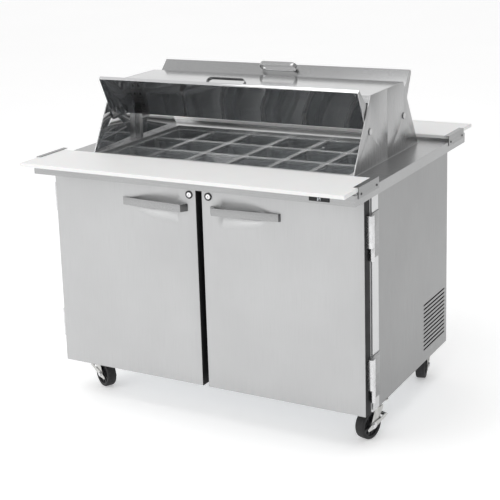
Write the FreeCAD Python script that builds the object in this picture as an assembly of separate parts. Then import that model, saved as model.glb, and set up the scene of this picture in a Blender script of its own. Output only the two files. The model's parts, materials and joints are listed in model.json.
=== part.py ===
"""Two-sided refrigerated sandwich prep table on casters.

Frame: millimetres, +X to the right of a person at the front board, -Y towards that person, +Z up.
The origin is on the floor under the middle of the table, half way between the two boards.
"""
import FreeCAD, Part
import math
import os

os.makedirs("parts", exist_ok=True)

# ---------------------------------------------------------------- driving dimensions (millimetres)
SHEET = 1.5                    # folded stainless sheet
PANEL = 2.0                    # cabinet skins
CLEARANCE = 0.3                # air between neighbours that move past each other
RUNNING_FIT = 0.05             # radial air round a pin that turns

# worktop
TABLE_WIDTH = 1226.0
DECK_DEPTH = 1016.0
DECK_TOP = 900.0
DECK_SHEET = 2.5
APRON_HEIGHT = 36.0
APRON_RETURN = 60.0            # folded flange under the overhang
LEDGE_HEIGHT = 6.7             # raised seat of a board
LEDGE_WIDTH = 1224.0
LEDGE_OUTER = 500.0
LEDGE_INNER = 350.0

# cutting boards and their end brackets
BOARD_LENGTH = 1224.8
BOARD_DEPTH = 241.0
BOARD_THICKNESS = 12.7
BOARD_OUTER = 588.0
BOARD_EDGE_ROUND = 2.0
BRACKET_OUTER = 488.0
BRACKET_LENGTH = 160.0
BRACKET_HEIGHT = 37.0
BRACKET_PLATE = 2.5
BRACKET_FLANGE = 18.5
BRACKET_LIP = 2.0
BRACKET_SCREW_INSET = 19.0
BRACKET_SCREW_DROP = 24.0
SCREW_HEAD_RADIUS = 4.5
SCREW_HEAD_HEIGHT = 2.5
RIM_SCREW_RADIUS = 3.5
RIM_SCREW_HEIGHT = 1.0
RIM_SCREW_PAIR = 11.0          # half the distance between the two of a pair
RIM_SCREW_X = 498.0
RIM_SCREW_Y = (-195.0, -95.0, 95.0, 195.0)

# cabinet
BODY_WIDTH = 1200.0
BODY_FRONT = -352.0
BODY_REAR = 355.0
BODY_BOTTOM = 130.0
BASE_SHEET = 2.5
FRAME_DEPTH = 53.0
MULLION_WIDTH = 60.0
LINER_SHEET = 3.0
LINER_HALF_WIDTH = 548.0       # inside
LINER_FLOOR = 178.0
LINER_CEILING = 764.0
LINER_BACK = 296.0             # inside, upper part
LINER_STEP_Y = 92.0            # inside, lower part ends here
LINER_STEP_Z = 432.0
PLANT_FRONT = 112.0            # machine space behind and below the liner
PLANT_TOP = 412.0

# side louvre and rear grille
LOUVRE_SLOTS = 12
LOUVRE_PITCH = 15.2
LOUVRE_BOTTOM = 175.0
LOUVRE_SLOT = 6.0
LOUVRE_Y = (116.0, 332.0)
GRILLE_HALF_WIDTH = 560.0
GRILLE_Z = (145.0, 410.0)
GRILLE_DEPTH = 12.0
GRILLE_SLOTS = 14
GRILLE_SLOT = 7.0
GRILLE_MARGIN = 30.0
BACK_OPENING_MARGIN = 22.0

# pan well
WELL_HALF_X = 486.5            # inside
WELL_HALF_Y = 266.0            # inside
WELL_WALL = 2.0
WELL_BOTTOM = LINER_CEILING + LINER_SHEET
WELL_RIM_X = 516.0
WELL_RIM_Y = 292.0
LEDGE_X = 481.0                # inner edge of the shelf that the pan rims rest on
LEDGE_Y = 258.5
PAN_SEAT = 886.5
BAR_WIDTH = 12.0
BAR_HEIGHT = 10.0
PAN_COLUMNS = 6
PAN_ROWS = 3
PAN_PITCH_X = 162.0
PAN_PITCH_Y = 176.0
PAN_RIM_GAP = 1.0
PAN_RIM = 2.0
PAN_RIM_WIDTH = 6.5
PAN_DEPTH = 100.0
PAN_WALL = 2.5
PAN_TAPER = 9.0
PAN_CORNER = 16.0

# hood
HOOD_HALF_WIDTH = 512.0
HOOD_END = 4.0
HOOD_BOTTOM_HALF = 285.0
HOOD_TOP_HALF = 146.0
HOOD_HEIGHT = 243.0            # above the deck
HOOD_SEAM = 0.6
HOOD_TOP_SHEET = 2.0
HOOD_TURN_DOWN = 27.0          # sloping flange of the top plate
POST_WIDTH = 19.0
POST_DEPTH = 20.0

# lids, both shown swung open
LID_PIVOT_Y = 151.0
LID_PIVOT_Z = 1023.0
LID_TRAVEL = 104.0             # degrees from open to closed
LID_GAP = 3.0                  # below the turned-down flange
LID_LIP = 12.0
LID_SIDE_GAP = 1.5
LID_REST_HEIGHT = 906.0        # lowest point of a closed lid
GUSSET_SHEET = 2.0
GUSSET_CORNER = (67.0, 76.0)   # along the panel, in from the panel
GUSSET_ROUND = 14.0
STUD_RADIUS = 6.0
STUD_CAP_RADIUS = 11.0
STUD_CAP = 2.4
LID_HANDLE_LENGTH = 150.0
LID_HANDLE_STAND = 36.0
LID_HANDLE_BAND = 16.0
LID_HANDLE_SHEET = 2.5
LID_HANDLE_BEND = 17.5
LID_HANDLE_INSET = 16.0        # from the free edge

# doors
DOOR_INNER = 11.0              # from the middle of the table
DOOR_OUTER = 598.0
DOOR_BOTTOM = 134.0
DOOR_TOP = 859.0
DOOR_FACE = -410.0
DOOR_BACK = -360.0
DOOR_BOSS = 18.0               # moulded inner face stands into the cabinet
DOOR_BOSS_INSET = 55.0
DOOR_BOSS_BOTTOM = 200.0
DOOR_BOSS_TOP = 742.0
GASKET_WIDTH = 18.0
GASKET_INSET = 6.0
HANDLE_FEET = (44.0, 307.0)    # inner and outer end on the door face
HANDLE_NOSE = (60.0, 25.0)     # inner front corner: from the middle of the table, out of the door
HANDLE_TAIL = (302.0, 8.0)     # outer front corner
HANDLE_HEIGHT = 26.0
HANDLE_BAR = 6.0
HANDLE_FOOT = 12.0             # length of each end that rests on the door
HANDLE_Z = 774.0
HANDLE_ROUND = 1.5
RECESS_INNER = 66.0
RECESS_LENGTH = 217.0
RECESS_HALF_HEIGHT = 66.0
RECESS_DEPTH = 14.0
RECESS_SLOPE = 30.0
LOCK_X = 37.0
LOCK_Z = 819.0
LOCK_RING_RADIUS = 14.0
LOCK_RING = 3.0
LOCK_BARREL_RADIUS = 11.5
LOCK_DEPTH = 22.0
LOCK_PLUG_RADIUS = 9.0
LOCK_KEYWAY = (2.0, 9.0, 2.5)  # width, height, depth

# door hinges, two for each door
HINGE_X = 608.5
HINGE_Y = -372.0
HINGE_RADIUS = 8.5
HINGE_FRONT = -391.0
HINGE_PIN_RADIUS = 4.0
HINGE_DOOR_PART = 106.0
HINGE_FRAME_PART = 45.0
HINGE_PLATE = 2.5
HINGE_TOPS = (806.0, 326.0)

# casters
WHEEL_RADIUS = 50.8
WHEEL_WIDTH = 36.0
WHEEL_HUB_WIDTH = 40.0
WHEEL_HUB_RADIUS = 16.0
WHEEL_ROUND = 6.0
WHEEL_DISH = 5.0
WHEEL_DISH_RADIUS = 37.0
CASTER_TRAIL = 32.0
CASTER_PLATE_SIZE = 74.0
CASTER_PLATE = 3.5
RACE_RADIUS = 25.0
FORK_TOP = 110.0
FORK_CROWN = 4.0
FORK_LEG = 3.0
FORK_INNER = 20.5
KINGPIN_RADIUS = 5.0
KINGPIN_NUT_RADIUS = 9.0
KINGPIN_NUT = 5.0
AXLE_RADIUS = 6.0
AXLE_HEAD_RADIUS = 9.5
AXLE_HEAD = 4.0
PEDAL_ARM = 2.8
PEDAL_REACH = (56.0, 76.0)
PEDAL_PLATE = 3.0
PEDAL_ANGLE = 16.0
PEDAL_TAIL = 34.0
PEDAL_ARM_WIDTH = 12.0
CASTERS = {                    # name: (swivel x, swivel y, direction in which the wheel trails)
    "front_left": (-540.0, -275.0, 333.0),
    "front_right": (560.0, -250.0, 255.0),
    "rear_left": (-540.0, 315.0, 110.0),
    "rear_right": (522.0, 315.0, 284.0),
}

# refrigeration
CONDENSER_X = (-470.0, -130.0)
CONDENSER_Y = (300.0, 338.0)
CONDENSER_Z = (165.0, 395.0)
CONDENSER_FAN_RADIUS = 92.0
CONDENSER_FAN_Y = 268.0
EVAPORATOR_HALF_WIDTH = 230.0
EVAPORATOR_Y = (222.0, 294.0)
EVAPORATOR_Z = (560.0, 748.0)
EVAPORATOR_FAN_RADIUS = 68.0
EVAPORATOR_FAN_Y = 236.0
FAN_BLADES = 5
FAN_HUB_RADIUS = 20.0
FAN_HUB_DEPTH = 22.0
FAN_BLADE = 2.0
FAN_PITCH = 28.0
FAN_TIP_GAP = 6.0
COMPRESSOR_AT = (190.0, 232.0)
COMPRESSOR_RADIUS = 72.0
COMPRESSOR_HEIGHT = 175.0
COMPRESSOR_BASE = (230.0, 190.0, 6.0)
COMPRESSOR_FOOT = 14.0

# shelves
SHELF_Z = 470.0
SHELF_X = (24.0, 536.0)
SHELF_Y = (-288.0, 72.0)
SHELF_ROD = 3.5
SHELF_WIRE = 1.8
SHELF_WIRES = 20
PILASTER_WIDTH = 16.0
PILASTER_DEPTH = 6.0
PILASTER_Y = (-262.0, 50.0)
CLIP_HEIGHT = 9.0

# display on the front apron
DISPLAY_X = (458.0, 526.0)
DISPLAY_Z = (872.5, 884.5)
DISPLAY_BEZEL = 1.2
DISPLAY_BODY = 14.0

# ---------------------------------------------------------------- derived places
DECK_HALF_X = TABLE_WIDTH / 2
DECK_HALF_Y = DECK_DEPTH / 2
APRON_BOTTOM = DECK_TOP - APRON_HEIGHT
DECK_UNDERSIDE = DECK_TOP - DECK_SHEET
BODY_HALF = BODY_WIDTH / 2
FRAME_BACK = BODY_FRONT + FRAME_DEPTH
WELL_RIM_TOP = DECK_TOP + SHEET
HOOD_TOP_Z = DECK_TOP + HOOD_HEIGHT
HOOD_INNER_X = HOOD_HALF_WIDTH - HOOD_END
BOARD_BOTTOM = DECK_TOP + LEDGE_HEIGHT + CLEARANCE
BOARD_TOP = BOARD_BOTTOM + BOARD_THICKNESS
BRACKET_TOP = BOARD_TOP + CLEARANCE + BRACKET_LIP
LID_HALF = HOOD_INNER_X - LID_SIDE_GAP

VECTOR = FreeCAD.Vector
ORIGIN = VECTOR(0, 0, 0)
X_AXIS = VECTOR(1, 0, 0)
Y_AXIS = VECTOR(0, 1, 0)
Z_AXIS = VECTOR(0, 0, 1)


# ---------------------------------------------------------------- shape helpers
def box(x_span, y_span, z_span):
    """A block between two limits on each axis, given in any order."""
    low = [min(span) for span in (x_span, y_span, z_span)]
    size = [abs(span[1] - span[0]) for span in (x_span, y_span, z_span)]
    return Part.makeBox(size[0], size[1], size[2], VECTOR(*low))


def prism_x(outline, x_span):
    """An outline of (y, z) points pushed along X."""
    points = [VECTOR(x_span[0], y, z) for y, z in outline]
    face = Part.Face(Part.makePolygon(points + points[:1]))
    return face.extrude(VECTOR(x_span[1] - x_span[0], 0, 0))


def prism_y(outline, y_span):
    """An outline of (x, z) points pushed along Y."""
    points = [VECTOR(x, y_span[0], z) for x, z in outline]
    face = Part.Face(Part.makePolygon(points + points[:1]))
    return face.extrude(VECTOR(0, y_span[1] - y_span[0], 0))


def prism_z(outline, z_span):
    """An outline of (x, y) points pushed along Z."""
    points = [VECTOR(x, y, z_span[0]) for x, y in outline]
    face = Part.Face(Part.makePolygon(points + points[:1]))
    return face.extrude(VECTOR(0, 0, z_span[1] - z_span[0]))


def rod(start, end, radius):
    """A round bar between two points."""
    direction = VECTOR(*end) - VECTOR(*start)
    return Part.makeCylinder(radius, direction.Length, VECTOR(*start), direction)


def fuse(shapes):
    """One clean solid from touching or overlapping pieces."""
    first = shapes[0]
    return first.multiFuse(shapes[1:]).removeSplitter()


def cut(shape, tools):
    """The shape with every tool taken out of it."""
    return shape.cut(tools)


def mirror_x(shape):
    return shape.mirror(ORIGIN, X_AXIS)


def mirror_y(shape):
    return shape.mirror(ORIGIN, Y_AXIS)


def both_sides(shape):
    return [shape, mirror_x(shape)]


def turned(shape, angle, centre=ORIGIN, axis=Z_AXIS):
    copy = shape.copy()
    copy.rotate(centre, axis, angle)
    return copy


def moved(shape, x, y, z):
    copy = shape.copy()
    copy.translate(VECTOR(x, y, z))
    return copy


def rounded_rectangle(half_x, half_y, radius, z):
    """A horizontal closed wire with round corners, centred on the Z axis."""
    corner_x = half_x - radius
    corner_y = half_y - radius
    edges = []
    for quarter, (sx, sy) in enumerate([(1, 1), (-1, 1), (-1, -1), (1, -1)]):
        centre = VECTOR(sx * corner_x, sy * corner_y, z)
        edges.append(Part.makeCircle(radius, centre, Z_AXIS, 90 * quarter, 90 * quarter + 90))
    corners = [(edge.valueAt(edge.FirstParameter), edge.valueAt(edge.LastParameter)) for edge in edges]
    for index in range(4):
        edges.append(Part.makeLine(corners[index][1], corners[(index + 1) % 4][0]))
    return Part.Wire(Part.__sortEdges__(edges))


def save(name, shapes):
    """Writes one sub-part; several solids become a group."""
    shape = shapes[0] if len(shapes) == 1 else Part.makeCompound(shapes)
    shape.exportStep("parts/" + name + ".step")


# ---------------------------------------------------------------- cabinet
def side_panel():
    """Flat stainless side skin, from the front frame to the back panel."""
    return box((BODY_HALF - PANEL, BODY_HALF), (FRAME_BACK, BODY_REAR), (BODY_BOTTOM, DECK_UNDERSIDE))


def louvred_side_panel():
    """The right side skin, with a bank of slots beside the machine space."""
    slots = []
    for index in range(LOUVRE_SLOTS):
        bottom = LOUVRE_BOTTOM + index * LOUVRE_PITCH
        z_span = (bottom, bottom + LOUVRE_SLOT)
        slots.append(box((BODY_HALF - 2 * PANEL, BODY_HALF + PANEL), LOUVRE_Y, z_span))
    return cut(side_panel(), slots)


def back_panel():
    """Rear skin between the side skins, open behind the condenser."""
    inner = BODY_HALF - PANEL
    skin = box((-inner, inner), (BODY_REAR - PANEL, BODY_REAR), (BODY_BOTTOM, DECK_UNDERSIDE))
    half = GRILLE_HALF_WIDTH - BACK_OPENING_MARGIN
    bottom = GRILLE_Z[0] + BACK_OPENING_MARGIN
    top = GRILLE_Z[1] - BACK_OPENING_MARGIN
    return cut(skin, [box((-half, half), (BODY_REAR - 2 * PANEL, BODY_REAR + PANEL), (bottom, top))])


def rear_grille():
    """Folded cover that stands off the back and lets warm air out through slots."""
    y_span = (BODY_REAR, BODY_REAR + GRILLE_DEPTH)
    shell = box((-GRILLE_HALF_WIDTH, GRILLE_HALF_WIDTH), y_span, GRILLE_Z)
    half = GRILLE_HALF_WIDTH - SHEET
    hollow = box((-half, half), (BODY_REAR, y_span[1] - SHEET), (GRILLE_Z[0] + SHEET, GRILLE_Z[1] - SHEET))
    usable = GRILLE_Z[1] - GRILLE_Z[0] - 2 * GRILLE_MARGIN
    pitch = usable / (GRILLE_SLOTS - 1)
    reach = GRILLE_HALF_WIDTH - GRILLE_MARGIN
    slots = []
    for index in range(GRILLE_SLOTS):
        bottom = GRILLE_Z[0] + GRILLE_MARGIN + index * pitch - GRILLE_SLOT / 2
        for x_span in ((-reach, -GRILLE_MARGIN / 2), (GRILLE_MARGIN / 2, reach)):
            slots.append(box(x_span, (BODY_REAR, y_span[1] + SHEET), (bottom, bottom + GRILLE_SLOT)))
    return cut(shell, [hollow] + slots)


def base_frame():
    """Bottom plate that the casters bolt to."""
    inner = BODY_HALF - PANEL
    return box((-inner, inner), (FRAME_BACK, BODY_REAR - PANEL), (BODY_BOTTOM, BODY_BOTTOM + BASE_SHEET))


def front_frame():
    """Ring of posts, sill and header round the door openings."""
    outer = box((-BODY_HALF, BODY_HALF), (BODY_FRONT, FRAME_BACK), (BODY_BOTTOM, DECK_UNDERSIDE))
    z_span = (LINER_FLOOR, LINER_CEILING)
    opening = box((-LINER_HALF_WIDTH, LINER_HALF_WIDTH), (BODY_FRONT, FRAME_BACK), z_span)
    return cut(outer, [opening])


def mullion():
    """Black bar between the two door openings."""
    half = MULLION_WIDTH / 2
    return box((-half, half), (BODY_FRONT, FRAME_BACK), (LINER_FLOOR, LINER_CEILING))


def liner_profile(grow):
    """Side outline of the cold space, with a step over the machine space."""
    floor = LINER_FLOOR - grow
    step_z = LINER_STEP_Z - grow
    ceiling = LINER_CEILING + grow
    step_y = LINER_STEP_Y + grow
    back = LINER_BACK + grow
    return [(FRAME_BACK, floor), (step_y, floor), (step_y, step_z), (back, step_z), (back, ceiling),
            (FRAME_BACK, ceiling)]


def liner_block(grow):
    half = LINER_HALF_WIDTH + grow
    return prism_x(liner_profile(grow), (-half, half))


def inner_liner():
    """Cold-space lining, open to the doors and up into the pan well."""
    ceiling_hole = box((-LEDGE_X, LEDGE_X), (-LEDGE_Y, LEDGE_Y), (LINER_CEILING - LINER_SHEET, WELL_BOTTOM))
    return cut(liner_block(LINER_SHEET), [liner_block(0), ceiling_hole])


def cabinet_insulation():
    """Foam between the skins, the lining and the pan well."""
    half = BODY_HALF - PANEL
    floor = BODY_BOTTOM + BASE_SHEET
    back = BODY_REAR - PANEL
    outline = [(FRAME_BACK, floor), (PLANT_FRONT, floor), (PLANT_FRONT, PLANT_TOP), (back, PLANT_TOP),
               (back, DECK_UNDERSIDE), (FRAME_BACK, DECK_UNDERSIDE)]
    block = prism_x(outline, (-half, half))
    well_x = WELL_HALF_X + WELL_WALL
    well_y = WELL_HALF_Y + WELL_WALL
    well = box((-well_x, well_x), (-well_y, well_y), (LINER_CEILING, DECK_UNDERSIDE))
    return cut(block, [liner_block(LINER_SHEET), well])


# ---------------------------------------------------------------- worktop
def worktop_deck():
    """Stainless top with an apron all round, folded under at front and rear, and two raised board seats."""
    outer = box((-DECK_HALF_X, DECK_HALF_X), (-DECK_HALF_Y, DECK_HALF_Y), (APRON_BOTTOM, DECK_TOP))
    inner_x = DECK_HALF_X - DECK_SHEET
    inner_y = DECK_HALF_Y - DECK_SHEET
    hollow = box((-inner_x, inner_x), (-inner_y, inner_y), (APRON_BOTTOM, DECK_UNDERSIDE))
    well_x = WELL_HALF_X + WELL_WALL
    well_y = WELL_HALF_Y + WELL_WALL
    pan_opening = box((-well_x, well_x), (-well_y, well_y), (DECK_UNDERSIDE, DECK_TOP))
    display_slot = box(DISPLAY_X, (-DECK_HALF_Y, -inner_y), DISPLAY_Z)
    deck = cut(outer, [hollow, pan_opening, display_slot])
    pieces = [deck]
    for side in (-1, 1):
        pieces.append(box((-inner_x, inner_x), (side * inner_y, side * (inner_y - APRON_RETURN)),
                          (APRON_BOTTOM, APRON_BOTTOM + DECK_SHEET)))
        pieces.append(box((-LEDGE_WIDTH / 2, LEDGE_WIDTH / 2), (side * LEDGE_INNER, side * LEDGE_OUTER),
                          (DECK_TOP, DECK_TOP + LEDGE_HEIGHT)))
    return fuse(pieces)


def cutting_board():
    """Front board, with slightly eased edges."""
    half = BOARD_LENGTH / 2
    board = box((-half, half), (-BOARD_OUTER, -BOARD_OUTER + BOARD_DEPTH), (BOARD_BOTTOM, BOARD_TOP))
    top_edges = [edge for edge in board.Edges if edge.BoundBox.ZMin > BOARD_TOP - CLEARANCE]
    return board.makeFillet(BOARD_EDGE_ROUND, top_edges)


def board_bracket():
    """Angle that hooks over the front right end of a board."""
    y_span = (-BRACKET_OUTER, -BRACKET_OUTER + BRACKET_LENGTH)
    outer = DECK_HALF_X + BRACKET_PLATE
    plate = box((DECK_HALF_X, outer), y_span, (BRACKET_TOP - BRACKET_HEIGHT, BRACKET_TOP))
    flange = box((outer - BRACKET_FLANGE, outer), y_span, (BRACKET_TOP - BRACKET_LIP, BRACKET_TOP))
    return fuse([plate, flange])


def bracket_screws():
    """Two screws through a bracket into the side apron."""
    face = DECK_HALF_X + BRACKET_PLATE
    z = BRACKET_TOP - BRACKET_SCREW_DROP
    ends = (-BRACKET_OUTER + BRACKET_SCREW_INSET, -BRACKET_OUTER + BRACKET_LENGTH - BRACKET_SCREW_INSET)
    return [rod((face, y, z), (face + SCREW_HEAD_HEIGHT, y, z), SCREW_HEAD_RADIUS) for y in ends]


def four_ways(shapes):
    """The shapes at front right, front left, rear right and rear left."""
    front = [copy for shape in shapes for copy in both_sides(shape)]
    return front + [mirror_y(shape) for shape in front]


def rim_screws():
    """Pairs of low screws along the left and right of the well rim."""
    heads = []
    for x in (-RIM_SCREW_X, RIM_SCREW_X):
        for middle in RIM_SCREW_Y:
            for y in (middle - RIM_SCREW_PAIR, middle + RIM_SCREW_PAIR):
                start = (x, y, WELL_RIM_TOP)
                end = (x, y, WELL_RIM_TOP + RIM_SCREW_HEIGHT)
                heads.append(rod(start, end, RIM_SCREW_RADIUS))
    return heads


# ---------------------------------------------------------------- pan well
def pan_well():
    """Stainless shaft with a flat rim on the deck and a shelf for the pan rims."""
    outer_x = WELL_HALF_X + WELL_WALL
    outer_y = WELL_HALF_Y + WELL_WALL
    rim = box((-WELL_RIM_X, WELL_RIM_X), (-WELL_RIM_Y, WELL_RIM_Y), (DECK_TOP, WELL_RIM_TOP))
    walls = box((-outer_x, outer_x), (-outer_y, outer_y), (WELL_BOTTOM, WELL_RIM_TOP))
    shaft = box((-WELL_HALF_X, WELL_HALF_X), (-WELL_HALF_Y, WELL_HALF_Y), (WELL_BOTTOM, WELL_RIM_TOP))
    well = cut(fuse([rim, walls]), [shaft])
    shelf = box((-outer_x, outer_x), (-outer_y, outer_y), (PAN_SEAT - WELL_WALL, PAN_SEAT))
    shelf_hole = box((-LEDGE_X, LEDGE_X), (-LEDGE_Y, LEDGE_Y), (PAN_SEAT - WELL_WALL, PAN_SEAT))
    return fuse([well, cut(shelf, [shelf_hole])])


def pan_divider_bars():
    """Two long bars and the short bars between them, which the rims of neighbouring pans share."""
    z_span = (PAN_SEAT - BAR_HEIGHT, PAN_SEAT)
    half = BAR_WIDTH / 2
    rows = [(row - PAN_ROWS / 2) * PAN_PITCH_Y for row in range(1, PAN_ROWS)]
    columns = [(column - PAN_COLUMNS / 2) * PAN_PITCH_X for column in range(1, PAN_COLUMNS)]
    starts = [-LEDGE_Y] + [y + half for y in rows]
    ends = [y - half for y in rows] + [LEDGE_Y]
    bars = [box((-LEDGE_X, LEDGE_X), (y - half, y + half), z_span) for y in rows]
    for x in columns:
        bars += [box((x - half, x + half), span, z_span) for span in zip(starts, ends)]
    return bars


def food_pan():
    """A sixth-size pan hanging by its rim, centred on the Z axis."""
    rim_x = (PAN_PITCH_X - PAN_RIM_GAP) / 2
    rim_y = (PAN_PITCH_Y - PAN_RIM_GAP) / 2
    top_x = rim_x - PAN_RIM_WIDTH
    top_y = rim_y - PAN_RIM_WIDTH
    top = PAN_SEAT + PAN_RIM
    bottom = PAN_SEAT - PAN_DEPTH
    rim = Part.Face(rounded_rectangle(rim_x, rim_y, PAN_CORNER, PAN_SEAT)).extrude(VECTOR(0, 0, PAN_RIM))
    neck = rounded_rectangle(top_x, top_y, PAN_CORNER, PAN_SEAT)
    foot = rounded_rectangle(top_x - PAN_TAPER, top_y - PAN_TAPER, PAN_CORNER, bottom)
    body = Part.makeLoft([foot, neck], True, True)
    inner_top_x = top_x - PAN_WALL
    inner_top_y = top_y - PAN_WALL
    slope = PAN_TAPER / PAN_DEPTH
    inner_drop = top - bottom - PAN_WALL
    inner_foot_x = inner_top_x - slope * inner_drop
    inner_foot_y = inner_top_y - slope * inner_drop
    mouth = rounded_rectangle(inner_top_x, inner_top_y, PAN_CORNER - PAN_WALL, top)
    floor = rounded_rectangle(inner_foot_x, inner_foot_y, PAN_CORNER - PAN_WALL, bottom + PAN_WALL)
    hollow = Part.makeLoft([floor, mouth], True, True)
    return cut(body.fuse(rim), [hollow]).removeSplitter()


def food_pans():
    """Three rows of six pans."""
    pan = food_pan()
    pans = []
    for column in range(PAN_COLUMNS):
        for row in range(PAN_ROWS):
            x = (column - (PAN_COLUMNS - 1) / 2) * PAN_PITCH_X
            y = (row - (PAN_ROWS - 1) / 2) * PAN_PITCH_Y
            pans.append(moved(pan, x, y, 0))
    return pans


# ---------------------------------------------------------------- hood
def slope_direction():
    """Unit (y, z) vector down the front slope of the hood, and the one that points into the hood."""
    run = HOOD_TOP_HALF - HOOD_BOTTOM_HALF
    length = math.hypot(run, HOOD_HEIGHT)
    down = (run / length, -HOOD_HEIGHT / length)
    return down, (-down[1], down[0])


def hood_end_half():
    """Front half of the right end panel, with the hole that the lid turns in."""
    seam = HOOD_SEAM / 2
    outline = [(-HOOD_BOTTOM_HALF, WELL_RIM_TOP), (-seam, WELL_RIM_TOP), (-seam, HOOD_TOP_Z),
               (-HOOD_TOP_HALF, HOOD_TOP_Z)]
    plate = prism_x(outline, (HOOD_INNER_X, HOOD_HALF_WIDTH))
    start = (HOOD_INNER_X - HOOD_END, -LID_PIVOT_Y, LID_PIVOT_Z)
    end = (HOOD_HALF_WIDTH + HOOD_END, -LID_PIVOT_Y, LID_PIVOT_Z)
    return cut(plate, [rod(start, end, STUD_RADIUS + RUNNING_FIT)])


def hood_top():
    """Polished top plate, turned down along both slopes."""
    down, inward = slope_direction()
    tip = (-HOOD_TOP_HALF + HOOD_TURN_DOWN * down[0], HOOD_TOP_Z + HOOD_TURN_DOWN * down[1])
    inner_tip = (tip[0] + SHEET * inward[0], tip[1] + SHEET * inward[1])
    under = HOOD_TOP_Z - HOOD_TOP_SHEET
    rise = (under - inner_tip[1]) / -down[1]
    bend = (inner_tip[0] - rise * down[0], under)
    front = [(-HOOD_TOP_HALF, HOOD_TOP_Z), tip, inner_tip, bend]
    outline = front + [(-y, z) for y, z in reversed(front)]
    return prism_x(outline, (-HOOD_INNER_X, HOOD_INNER_X))


def hood_post():
    """Upright that backs the seam of the right end panel."""
    return box((HOOD_INNER_X - POST_WIDTH, HOOD_INNER_X), (-POST_DEPTH / 2, POST_DEPTH / 2),
               (WELL_RIM_TOP, HOOD_TOP_Z - HOOD_TOP_SHEET))


# ---------------------------------------------------------------- lids
def lid_frame():
    """Where the lid lies: its pivot in its own (along, inward) directions, its length and its open angle."""
    down, inward = slope_direction()
    start = HOOD_TURN_DOWN + LID_GAP
    closed_edge = (-HOOD_TOP_HALF + start * down[0], HOOD_TOP_Z + start * down[1])
    reach = (-LID_PIVOT_Y - closed_edge[0], LID_PIVOT_Z - closed_edge[1])
    pivot_along = reach[0] * down[0] + reach[1] * down[1]
    pivot_inward = reach[0] * inward[0] + reach[1] * inward[1]
    length = (closed_edge[1] + LID_LIP * inward[1] - LID_REST_HEIGHT) / -down[1]
    open_angle = math.degrees(math.atan2(down[1], down[0])) - LID_TRAVEL
    return pivot_along, pivot_inward, length, open_angle


def place_open(shape):
    """Moves a shape from the lid's own frame to the open front lid.

    In that frame Y runs along the panel from its hinge edge and Z points inward.
    """
    pivot_along, pivot_inward, _, open_angle = lid_frame()
    centred = moved(shape, 0, -pivot_along, -pivot_inward)
    return moved(turned(centred, open_angle, ORIGIN, X_AXIS), 0, -LID_PIVOT_Y, LID_PIVOT_Z)


def lid_gusset():
    """Triangular end plate that carries the right pivot stud."""
    pivot_along, pivot_inward, length, _ = lid_frame()
    outline = [(0, 0), (length, 0), (length, LID_LIP), GUSSET_CORNER]
    plate = prism_x(outline, (LID_HALF - GUSSET_SHEET, LID_HALF))
    corner = [edge for edge in plate.Edges
              if abs(edge.BoundBox.YMin - GUSSET_CORNER[0]) < CLEARANCE and edge.BoundBox.YLength < CLEARANCE
              and abs(edge.BoundBox.ZMin - GUSSET_CORNER[1]) < CLEARANCE]
    plate = plate.makeFillet(GUSSET_ROUND, corner)
    start = (LID_HALF - 2 * GUSSET_SHEET, pivot_along, pivot_inward)
    end = (LID_HALF + GUSSET_SHEET, pivot_along, pivot_inward)
    return cut(plate, [rod(start, end, STUD_RADIUS)])


def lid_panel():
    """Sheet with a folded lip at the free edge and a gusset at each end."""
    length = lid_frame()[2]
    sheet = box((-LID_HALF, LID_HALF), (0, length), (0, SHEET))
    lip = box((-LID_HALF, LID_HALF), (length - SHEET, length), (0, LID_LIP))
    return place_open(fuse([sheet, lip] + both_sides(lid_gusset())))


def lid_stud():
    """Pivot stud through the right gusset and end panel, with a cap on each side."""
    pivot_along, pivot_inward, _, _ = lid_frame()
    inner = LID_HALF - GUSSET_SHEET
    outer = HOOD_HALF_WIDTH + CLEARANCE

    def disc(x_start, x_end, radius):
        return rod((x_start, pivot_along, pivot_inward), (x_end, pivot_along, pivot_inward), radius)

    inner_cap = disc(inner - STUD_CAP, inner, STUD_CAP_RADIUS)
    shank = disc(inner - STUD_CAP, outer + STUD_CAP, STUD_RADIUS)
    outer_cap = disc(outer, outer + STUD_CAP, STUD_CAP_RADIUS)
    return fuse([inner_cap, shank, outer_cap])


def lid_handle():
    """Flat band bent into a closed low loop with round ends, fixed to the outer face."""
    y_end = lid_frame()[2] - LID_HANDLE_INSET
    y_span = (y_end - LID_HANDLE_BAND, y_end)

    def loop(inset):
        half = LID_HANDLE_LENGTH / 2 - inset
        solid = box((-half, half), y_span, (inset - LID_HANDLE_STAND, -inset))
        corners = [edge for edge in solid.Edges if edge.BoundBox.YLength > CLEARANCE]
        return solid.makeFillet(LID_HANDLE_BEND - inset, corners)

    return cut(loop(0), [loop(LID_HANDLE_SHEET)])


def lid_hardware():
    return [place_open(shape) for shape in [lid_handle()] + both_sides(lid_stud())]


# ---------------------------------------------------------------- doors (right door; the left one mirrors it)
def recess_outline(shrink, y):
    """Half ellipse with its straight side towards the middle of the table."""
    centre = VECTOR(RECESS_INNER + shrink, 0, 0)
    major = RECESS_LENGTH - 2 * shrink
    minor = RECESS_HALF_HEIGHT - shrink
    curve = Part.Ellipse(centre, major, minor)
    arc = Part.Arc(curve, -math.pi / 2, math.pi / 2).toShape()
    chord = Part.makeLine(arc.valueAt(arc.LastParameter), arc.valueAt(arc.FirstParameter))
    wire = Part.Wire([arc, chord])
    return moved(turned(wire, 90, ORIGIN, X_AXIS), 0, y, HANDLE_Z)


def recess_block(grow):
    """Finger recess with sloping walls; grow adds the thickness of its pressed sheet."""
    mouth = recess_outline(-grow, DOOR_FACE)
    floor = recess_outline(RECESS_SLOPE - grow, DOOR_FACE + RECESS_DEPTH + grow)
    return Part.makeLoft([mouth, floor], True, True)


def lock_rod(y_start, y_end, radius):
    return rod((LOCK_X, y_start, LOCK_Z), (LOCK_X, y_end, LOCK_Z), radius)


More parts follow.
